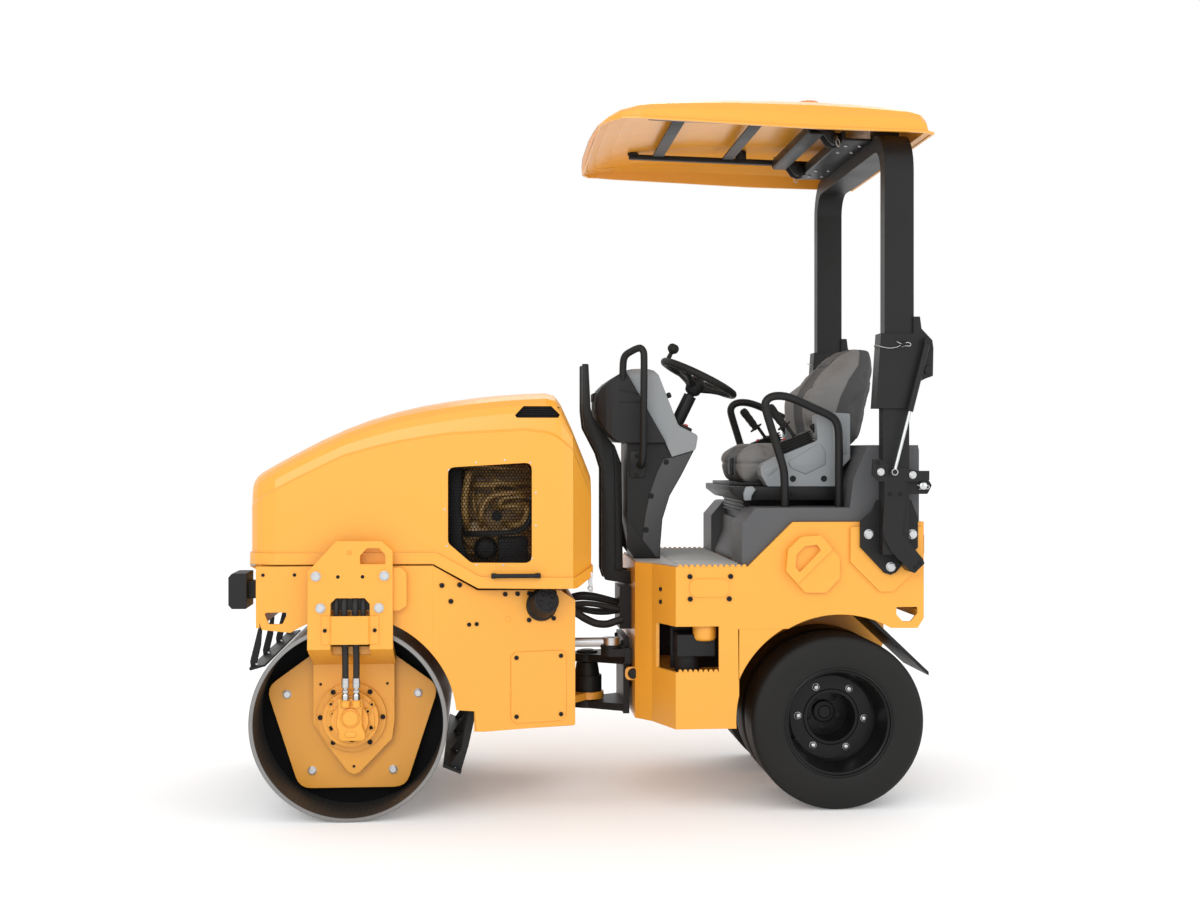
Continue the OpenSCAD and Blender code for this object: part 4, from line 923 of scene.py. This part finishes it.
for side, hand in HANDS:
    out = (0, side, 0)
    for b, z in ((1916, 1241), (2034, 1230)):
        hex_bolt(bright, at(b, side * 608, z), out, 11.5)
    for b, z in ((1907, 1275), (1951, 1160), (1990, 1160), (2046, 893), (2062, 909)):
        cap_screw(dark, at(b, side * 608, z), out, 7)
    for b, z in ((1888, 1012), (2050, 1011), (1970, 892)):
        hex_bolt(bright, at(b, side * 543, z), out, 15)
    turned(pins, at(2077, side * 548, 1190), out, [(0, 0), (9, 0), (9, 44), (14, 44), (14, 50), (11, 52),
                                                   (0, 52)], 24)
    turned(dark, at(2089, side * 611, 1612), out, [(0, 6), (13, 6), (17, 3), (17, 0)], 24)
    turned(dark, at(1960, side * 622, 1241), out, [(0, 20), (8, 20), (11, 16), (12, 10), (12, 0), (0, 0)],
           20)
    pipe(f"lock_clip_{hand}", placed(LOCK_CLIP, side), WIRE, "rear", zinc)
    pipe(f"sleeve_clip_{hand}", placed(SLEEVE_CLIP, side), WIRE, "rops", zinc)
    hose(f"pin_lanyard_{hand}", placed(LANYARD, side), 0.0026, "rops", zinc)
    turned(eyes, at(1997, side * 608, 1705), out, [(0, 0), (11, 0), (11, 6), (8, 8), (8, 16), (6.5, 18),
                                                   (0, 18)], 20)
piece("hoop_bolts", bright, "rear", zinc)
piece("hoop_lock_pins", pins, "rear", zinc)
piece("sleeve_lock_pins", eyes, "rops", black)
piece("hoop_base_bolts", dark, "rear", black)


# Canopy: one deep vacuum-formed shell in the machine's yellow, on black rails that stand on the hoop.
# Its rim is rolled, and zinc screws with washers hold it down on rubber mounts.
wear(yellow, "canopy")
BRACKET = [(1690, 2552), (1770, 2549), (1806, 2520), (1836, 2512), (1836, 2480), (1806, 2472), (1780, 2482),
           (1752, 2520), (1716, 2540)]
CANOPY_CLIP = ((1806, 394, 2500), (1800, 396, 2486), (1802, 397, 2470), (1809, 397, 2462),
               (1815, 396, 2470), (1812, 395, 2484), (1806, 393, 2492))
screws, rails, mounts = bmesh.new(), bmesh.new(), bmesh.new()
for side, hand in HANDS:
    slab(rails, [(1092, 2572), (1092, 2552), (2038, 2524), (2038, 2546)], side * 380, side * 412, 3)
    slab(rails, [(1936, 2490.2), (1936, 2530), (2036, 2528), (2036, 2490.2)], side * 372, side * 420, 3)
    for b, foot, top in ((1110, 2552, 2578), (1570, 2540, 2593)):
        tall = top - foot
        turned(mounts, at(b, side * 396, foot), (0, 0, 1),
               [(0, 0), (10, 0), (10, 14), (22, 16), (24, 19), (24, tall - 3), (20, tall), (0, tall)], 26)
        turned(screws, at(b, side * 396, top + 6.5), (0, side * 0.09, 1),
               [(0, 6), (7, 6), (9, 4), (9, 2), (15, 1.6), (15, 0)], 18)
    for y in (364, 296):
        slab(rails, BRACKET, side * y, side * (y + 8), 2)
    turned(rails, at(1806, side * 290, 2494), (0, side, 0), [(0, 0), (13, 0), (13, 88), (16, 90), (16, 97),
                                                             (12, 99), (0, 99)], 20)
    for b, y in ((1852, 200), (1906, 200), (1852, 330), (1906, 330)):
        cap_screw(screws, at(b, side * y, 2479.8), (0, 0, -1), 7)
    pipe(f"canopy_clip_{hand}", placed(CANOPY_CLIP, side), WIRE, "rops", zinc)
for b in (1190, 1486):
    top = 2570 - (b - 1092) * 0.0275
    slab(rails, [(b, top), (b, top - 8), (b + 46, top - 9.3), (b + 46, top - 1.3)], -396, 396, 1)
slab(rails, [(1700, 2552), (1700, 2520), (1708, 2512), (1760, 2512), (1760, 2520), (1710, 2522),
             (1708, 2552)], -372, 372, 2)
slab(rails, [(1822, 2520), (1822, 2482), (1828, 2480), (1930, 2480), (1930, 2488), (1832, 2490),
             (1830, 2520)], -420, 420, 2)
frame_rails = piece("canopy_rails", rails, "rops", black)
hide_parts("canopy_frame")
piece("canopy_mounts", mounts, "rops", rubber)
piece("canopy_screws", screws, "rops", zinc)

# Beacon: an amber turning lamp with a ribbed dome, which stands on a black moulded socket on the
# canopy's crown.
amber_dome = finish("amber_lens", lambda place: {
    "Base_Color": place.noise(14.0).mix((0.90, 0.22, 0.012), (0.95, 0.30, 0.02)),
    "Normal": (place.axis("Z") * 620.0).wave().bump(0.0015, 0.5)},
    Roughness=0.12, Transmission_Weight=0.25, Coat_Weight=0.5)
dome, socket = bmesh.new(), bmesh.new()
turned(dome, at(1777, 0, 2600), (0, 0, 1), [(62, 42), (61, 60), (59.5, 84), (56, 102), (48, 113),
                                            (34, 118.5), (16, 120.6), (0, 121)], 48)
turned(socket, at(1777, 0, 2600), (0, 0, 1), [(0, 0), (70, 0), (70, 14), (68, 18), (68, 32), (70, 34),
                                              (70, 41), (66, 43.5), (61, 43.5), (60, 40), (0, 40)], 48)
lamp = piece("beacon_dome", dome, "rops", amber_dome, 40)
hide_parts("beacon")
piece("beacon_socket", socket, "rops", soot)


# Seat: a moulded foam cushion and back in a grey woven cover, with a darker middle panel, lighter bolsters
# and welted seams between them. It sits on a black slide and a folded stand, with a pale lever.
def seat_cloth(panel, rear=False):
    def lay_out(place):
        across = place.axis("Y")
        middle = across.math("ABSOLUTE", across).ramp((panel - 0.004, 1.0), (panel + 0.004, 0.0))
        if rear:
            length, tall = place.axis("X") * -1.0 + 0.85, place.axis("Z")
            line = ((tall - 1.4) * 2.5).ramp((0.14, 0.833), (0.31, 0.853), (0.485, 0.888), (0.63, 0.934),
                                             (0.75, 0.948))
            middle = middle.math("MAXIMUM", middle,
                                 ((length - line - 1.0) * 200.0 + 0.5).ramp((0.0, 0.0), (1.0, 1.0)))
        weave = (across * 2400.0).wave() * (place.axis("Z") * 2400.0).wave()
        haze = place.noise(6.0, 5.0)
        light = haze.mix((0.160, 0.157, 0.153), (0.205, 0.202, 0.197))
        return {
            "Base_Color": middle.mix(light, (0.056, 0.056, 0.057)),
            "Roughness": haze * 0.12 + 0.72,
            "Normal": (weave * 0.4 + place.noise(700.0)).bump(0.0006, 0.4),
        }
    return lay_out


def applied(pad):
    """Puts what the modifiers make into the pad's own mesh."""
    graph = bpy.context.evaluated_depsgraph_get()
    done = bpy.data.meshes.new_from_object(pad.evaluated_get(graph))
    pad.modifiers.clear()
    pad.data = done


def stuffed(name, mesh, node, material, cap, seam, fold):
    """A pad: the cut form is remeshed, swelled by its filling, drawn in along its seams and smoothed."""
    bmesh.ops.recalc_face_normals(mesh, faces=mesh.faces)
    pad = bpy.data.objects.new(name, bpy.data.meshes.new(name))
    mesh.to_mesh(pad.data)
    mesh.free()
    scene.collection.objects.link(pad)
    voxel = pad.modifiers.new("skin", "REMESH")
    voxel.mode = "VOXEL"
    voxel.voxel_size = 0.006
    applied(pad)
    form = bmesh.new()
    form.from_mesh(pad.data)
    for _ in range(10):
        bmesh.ops.smooth_vert(form, verts=form.verts, factor=0.5, use_axis_x=True, use_axis_y=True,
                              use_axis_z=True)
    for vert in form.verts:
        vert.co = fold(vert.co)
    form.to_mesh(pad.data)
    form.free()
    before = [vert.co.copy() for vert in pad.data.vertices]
    cloth = pad.modifiers.new("cover", "CLOTH")
    cloth.settings.use_pressure = True
    cloth.settings.uniform_pressure_force = 4.0
    cloth.settings.effector_weights.gravity = 0.0
    cloth.point_cache.frame_start, cloth.point_cache.frame_end = 1, 20
    for step in range(1, 21):
        scene.frame_set(step)
    graph = bpy.context.evaluated_depsgraph_get()
    swollen = [vert.co.copy() for vert in pad.evaluated_get(graph).data.vertices]
    pad.modifiers.clear()
    for vert, old, new in zip(pad.data.vertices, before, swollen):
        move = new - old
        vert.co = old + move * min(1.0, cap / max(move.length, 1e-9))
    scene.frame_set(1)
    form = bmesh.new()
    form.from_mesh(pad.data)
    form.normal_update()
    for vert in form.verts:
        vert.co -= vert.normal * 0.006 * seam(vert.co)
    form.to_mesh(pad.data)
    form.free()
    smooth = pad.modifiers.new("smooth", "SUBSURF")
    smooth.levels = smooth.render_levels = 1
    applied(pad)
    pad.data.polygons.foreach_set("use_smooth", [True] * len(pad.data.polygons))
    pad.data.materials.clear()
    pad.data.materials.append(material)
    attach(pad, "rear")
    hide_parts(node)
    return pad


def ridge(value, place, width):
    return math.exp(-((value - place) / width) ** 2)


def cushion_fold(co):
    b, z = 850 - co.x * 1000, co.z * 1000
    bolster = 14 * ridge(abs(co.y), 0.205, 0.055) * max(0.0, min(1.0, (z - 1270) / 60))
    dish = -10 * ridge(abs(co.y), 0.0, 0.16) * max(0.0, min(1.0, (z - 1290) / 40))
    waist = 1.0 - 0.05 * ridge(b, 1500, 90) * ridge(z, 1255, 45)
    return Vector((co.x, co.y * waist, co.z + (bolster + dish) / 1000))


def back_fold(co):
    b, z = 850 - co.x * 1000, co.z * 1000
    shoulder = max(0.0, min(1.0, (z - 1560) / 150))
    narrow = 1.0 - 0.30 * shoulder ** 1.5
    front = max(0.0, min(1.0, (1900 - b) / 80))
    wing = 30 * ridge(abs(co.y) / narrow, 0.19, 0.06) * max(0.0, 1.0 - shoulder) * front
    dish = 16 * ridge(co.y, 0.0, 0.12) * front * max(0.0, min(1.0, (z - 1330) / 80))
    return Vector((co.x + (wing - dish) / 1000, co.y * narrow, co.z))


SEAM = 0.005
SWELL = 0.012


def cushion_seam(co):
    sides = ridge(abs(co.y), 0.150, SEAM) * (1.0 if co.z > 1.26 else 0.0)
    across = ridge(co.x, 0.85 - 1.53, SEAM) * (1.0 if abs(co.y) < 0.15 and co.z > 1.3 else 0.0)
    return max(sides, ridge(co.z, 1.268, SEAM), across)


def back_seam(co):
    return max(ridge(abs(co.y), 0.118, SEAM), ridge(co.z, 1.655, SEAM) * (1.0 if abs(co.y) < 0.14 else 0.0))


cushion = bmesh.new()
slab(cushion, [(1446, 1296), (1460, 1220), (1478, 1197), (1770, 1197), (1760, 1286), (1730, 1322),
               (1634, 1329), (1535, 1327), (1474, 1313)], -232, 232, 20, 3)
stuffed("seat_cushion_pad", cushion, "seat_cushion", finish("cushion_cloth", seat_cloth(0.150)), SWELL,
        cushion_seam, cushion_fold)
back = bmesh.new()
slab(back, [(1794, 1200), (1790, 1300), (1766, 1384), (1752, 1442), (1750, 1508), (1758, 1542),
            (1826, 1628), (1892, 1710), (1940, 1722), (1998, 1722), (1996, 1664), (1980, 1585),
            (1952, 1446), (1928, 1362), (1884, 1330), (1834, 1222), (1822, 1200)], -222, 222, 12, 3)
stuffed("seat_back_pad", back, "seat_back", finish("back_cloth", seat_cloth(0.118, True)), SWELL,
        back_seam, back_fold)
trim, handle, slide, stand = bmesh.new(), bmesh.new(), bmesh.new(), bmesh.new()
slab(trim, [(1434, 1226), (1434, 1290), (1448, 1292), (1448, 1222)], 120, 172, 4)
slab(stand, [(1482, 893.2), (1482, 1132), (1822, 1132), (1822, 1056.2), (1610.8, 1056.2), (1500, 893.2)],
     -238, 238, 6)
for fold in range(7):
    b, z = 1470 + 5 * (fold % 2), 1080 + 7 * fold
    slab(stand, [(b, z), (b, z + 7), (1800, z + 7), (1800, z)], -243, 243, 2)
slab(stand, [(1412, 1182.8), (1412, 1160), (1452, 1130), (1850, 1130), (1850, 1182.8)], -345, 345, 4)
base = piece("seat_stand", stand, "rear", black)
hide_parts("seat_base")
slab(handle, [(1458, 1130), (1454, 1156), (1464, 1182), (1490, 1184), (1502, 1172), (1486, 1148),
              (1484, 1130)], 343, 362, 4)
slab(slide, [(1424, 1183), (1424, 1196), (1812, 1196), (1812, 1183)], -228, 228, 2)
for side in (-1, 1):
    for b in (1500, 1640, 1780):
        cap_screw(slide, at(b, side * 345, 1155), (0, side, 0), 6)
piece("cushion_pull", trim, "rear", soot)
pale = finish("pale_grey_moulding", moulding((0.225, 0.240, 0.250), (0.265, 0.280, 0.290), 600.0))
piece("seat_lever", handle, "rear", pale)
piece("seat_slide", slide, "rear", black)


# Seat consoles: pale blue-grey mouldings bolted to the seat's tray, with a raised panel on each outer side,
# black screws, ribbed rubber bellows and drive levers with flanged grips. A bent arm hoop stands each side.
wear(pale, "seat_consoles")
ARM = ((1603, 1108), (1603, 1150), (1602, 1205), (1597, 1255), (1576, 1325), (1553, 1400), (1534, 1462),
       (1529, 1492), (1541, 1513), (1568, 1523), (1606, 1521),
       (1648, 1508), (1690, 1489), (1732, 1470), (1770, 1452), (1794, 1434), (1806, 1404), (1809, 1360),
       (1809, 1290), (1809, 1210), (1809, 1108))
near = tube("arm_hoop_left", smooth_line([at(b, 405, z) for b, z in ARM], 64), 0.031, black)
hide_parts("seat_hoops")
for hoop in (near, tube("arm_hoop_right", smooth_line([at(b, -405, z) for b, z in ARM], 64), 0.031, black)):
    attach(hoop, "rear")
FOLDS = 9
FRONT_EDGE = ((1612, 1305), (1600, 1350))
REAR_EDGE = ((1734, 1354.6), (1716, 1396))


def between(foot, top, share, push):
    """A place part of the way up a bellows' edge, pushed along the console's slope."""
    return foot[0] + (top[0] - foot[0]) * share + push, foot[1] + (top[1] - foot[1]) * share + push * 0.4


panels, screws, bellows, buttons = bmesh.new(), bmesh.new(), bmesh.new(), bmesh.new()
for side in (1, -1):
    out = (0, side, 0)
    slab(panels, [(1627, 1274), (1634, 1280), (1744, 1345), (1752, 1342), (1771, 1316), (1771, 1266),
                  (1694, 1228), (1640, 1251)], side * 342, side * 349.5, 5)
    slab(panels, [(1800, 1300), (1800, 1440), (1852, 1440), (1852, 1304)], side * 342, side * 347, 3)
    slab(panels, [(1536, 1250), (1590, 1276), (1600, 1262), (1560, 1224), (1542, 1226)], side * 342,
         side * 347, 3)
    for b, z in ((1646, 1212), (1765, 1212)):
        turned(screws, at(b, side * 345, z), out, [(0, 1.5), (5, 1.5), (6, 4), (9, 4), (11, 2.5), (12, 0)],
               22)
    for k in range(FOLDS):
        low, high = k / FOLDS, (k + 1) / FOLDS
        draw = 7 if k % 2 else 0
        fold = [between(*FRONT_EDGE, low, draw), between(*REAR_EDGE, low, -draw),
                between(*REAR_EDGE, high, -draw), between(*FRONT_EDGE, high, draw)]
        slab(bellows, fold, side * (272 + draw), side * (334 - draw), 1.6)
    lean = (0.052, 0, 0.068)
    turned(bellows, at(1664, side * 304, 1366), (0.042, 0, 0.059),
           [(0, 0), (22, 0), (20, 6), (9, 12), (7, 16), (7, 66), (0, 66)], 20)
    turned(bellows, at(1624, side * 304, 1408), lean, [(0, 0), (9, 0), (13, 2), (27, 4), (29, 7), (27, 10),
                                                       (15, 12), (14, 18), (16.5, 30), (15.5, 42), (17, 54),
                                                       (16, 66), (17.5, 80), (17, 94), (13, 102), (6, 105),
                                                       (0, 105.5)], 24)
    turned(buttons, at(1626, side * 288, 1356), (0.3, 0, 1), [(0, 10), (5, 10), (7, 8), (8, 0)], 18)
    turned(screws, at(1742, side * 290, 1388), (0.4, 0, 1), [(0, 34), (8, 34), (11, 30), (11, 18), (6, 14),
                                                             (6, 0)], 18)
piece("console_panels", panels, "rear", pale)
piece("console_screws", screws, "rear", soot)
levers = piece("lever_bellows", bellows, "rear", rubber)
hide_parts("control_levers")
button_red = finish("red_button", lambda place: {"Base_Color": place.noise(30.0).mix((0.50, 0.02, 0.015),
                                                                                     (0.60, 0.03, 0.02))},
                    Roughness=0.3)
piece("lever_buttons", buttons, "rear", button_red)


# Steering console: a folded black column with grey side panels, a black domed pod in front, and a pale cover
# behind that carries the switches. Two bent guards stand ahead of it, and a hand rail on its left.
wear(black, "console_column")
guards = bmesh.new()
for side in (1, -1):
    slab(guards, [(863, 1658), (888, 1658), (896, 1487), (906, 1450), (938, 1402), (962, 1372), (985, 1330),
                  (991, 1250), (993, 850), (1054, 846), (1054, 794), (953, 812), (941, 849), (941, 1248),
                  (923, 1307), (871, 1407), (863, 1477)], side * 64, side * 92, 4)
    slab(guards, [(960, 1372), (992, 1337), (1018, 1267), (1024, 830), (990, 830), (990, 1250),
                  (984, 1330)], side * 68, side * 84, 3)
guard = piece("console_guards", guards, "rear", black)
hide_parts("console_guard")
RAIL = ((1085, 139, 1262), (1085, 176, 1262), (1086, 204, 1266), (1088, 215, 1284), (1090, 216, 1330),
        (1091, 216, 1420), (1092, 216, 1520), (1093, 216, 1610), (1093, 215, 1680),
        (1090, 213, 1701), (1079, 207, 1713), (1064, 199, 1710), (1046, 188, 1701), (1030, 178, 1691),
        (1021, 172, 1678), (1017, 166, 1656), (1016, 158, 1590))
rail = tube("hand_rail", smooth_line(placed(RAIL), 56), 0.028, black)
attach(rail, "rear")
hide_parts("hand_rails")
wear(finish("pod_moulding", moulding((0.008, 0.008, 0.009), (0.013, 0.013, 0.014), 700.0),
            Specular_IOR_Level=0.3), "console_head")
wear(pale, "console_cover")
cheeks, gussets, screws, switches, reds = bmesh.new(), bmesh.new(), bmesh.new(), bmesh.new(), bmesh.new()
for side in (1, -1):
    out = (0, side, 0)
    slab(cheeks, [(1178, 1286), (1209, 1292), (1293, 1317), (1245, 1222), (1199, 1142), (1171, 1051),
                  (1162, 940), (1162, 905), (1092, 905), (1096, 988), (1106, 1070), (1124, 1155),
                  (1150, 1230)], side * 139.6, side * 143, 2)
    slab(gussets, [(1034, 1051), (1152, 900), (1064, 900), (1034, 940)], side * 139.6, side * 145, 2)
    slab(gussets, [(1044, 1218), (1050, 1212), (1100, 1212), (1106, 1218), (1106, 1312), (1100, 1318),
                   (1050, 1318), (1044, 1312)], side * 139.6, side * 144.5, 2)
    for b, z in ((1187, 1274), (1128, 1142), (1108, 1010)):
        turned(screws, at(b, side * 143, z), out, [(0, 2), (4, 2), (5, 5), (8, 5), (10, 3), (10.5, 0)], 20)
    for b, z in ((1072, 1299), (1072, 1222)):
        cap_screw(screws, at(b, side * 144.5, z), out, 8)
    slab(gussets, [(1000, 1504), (1000, 1510), (1105, 1510), (1105, 1504)], side * 168.5, side * 171.5, 1)
    slab(gussets, [(1000, 1552), (1000, 1558), (1080, 1540), (1080, 1534)], side * 168.5, side * 171.5, 1)
for y in (-92, -31, 31, 92):
    slab(switches, [(1246, 1404), (1252, 1424), (1294, 1404), (1290, 1384)], y - 17, y + 17, 3)
    slab(reds, [(1263, 1414), (1267, 1424), (1280, 1418), (1276, 1408)], y - 13, y + 13, 2)
for y in (-70, 70):
    turned(switches, at(1190, y, 1530), (-0.931, 0, 0.365), [(0, 26), (8, 26), (11, 23), (11, 12), (7, 9),
                                                             (7, 4), (14, 3), (14, -3)], 20)
slab(switches, [(905.5, 1510), (905.5, 1544), (934, 1550), (934, 1506)], -46, 46, 5)
piece("column_panels", cheeks, "rear", grey)
piece("column_gussets", gussets, "rear", black)
piece("column_screws", screws, "rear", soot)
piece("console_switches", switches, "rear", soot)
piece("switch_caps", reds, "rear", button_red)


# Steering wheel: a foamed black rim on three spokes with a turning knob and a moulded cap. It turns on
# a short black column that leans back from the console.
wear(black, "steering_column")
WHEEL_R, GRIP_R = 152, 15
rim, cap = bmesh.new(), bmesh.new()
post = Vector((-79.0, 0.0, 161.0)).normalized()
centre = at(1243, 0, 1420) + post * 0.208
across = Vector((post.z, 0.0, -post.x))
round_grip = [math.radians(30 * k) for k in range(13)]
section = [(WHEEL_R + GRIP_R * math.cos(turn), GRIP_R * math.sin(turn)) for turn in round_grip]
turned(rim, centre, post, section, 72)
turned(rim, centre, post, [(0, -8), (30, -9), (36, -14), (38, -24), (36, -40), (30, -62), (22, -70),
                           (15, -72), (14, -178)], 36)
for turn in (60, 180, 300):
    reach = across * math.cos(math.radians(turn)) + Vector((0.0, 1.0, 0.0)) * math.sin(math.radians(turn))
    turned(rim, centre - post * 0.036 + reach * 0.02, reach + post * 0.26,
           [(17, 0), (15, 20), (11, 50), (9.5, 90), (9.5, 128)], 14)
grip = centre + across * 0.152 * math.cos(math.radians(15)) + Vector((0.0,
                                                                      0.152 * math.sin(math.radians(15)),
                                                                      0.0))
turned(rim, grip, post, [(9, 0), (9, 26), (8, 34), (11, 38), (18, 43), (22.5, 51), (23, 58), (20, 68),
                         (12, 74.5), (0, 76)], 28)
wheel = piece("hand_wheel", rim, "steering_wheel", rubber, 40)
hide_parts("steering_wheel")
turned(cap, centre, post, [(0, 2), (16, 2), (26, -1), (31, -6), (33, -10)], 28)
piece("wheel_cap", cap, "steering_wheel", soot, 40)
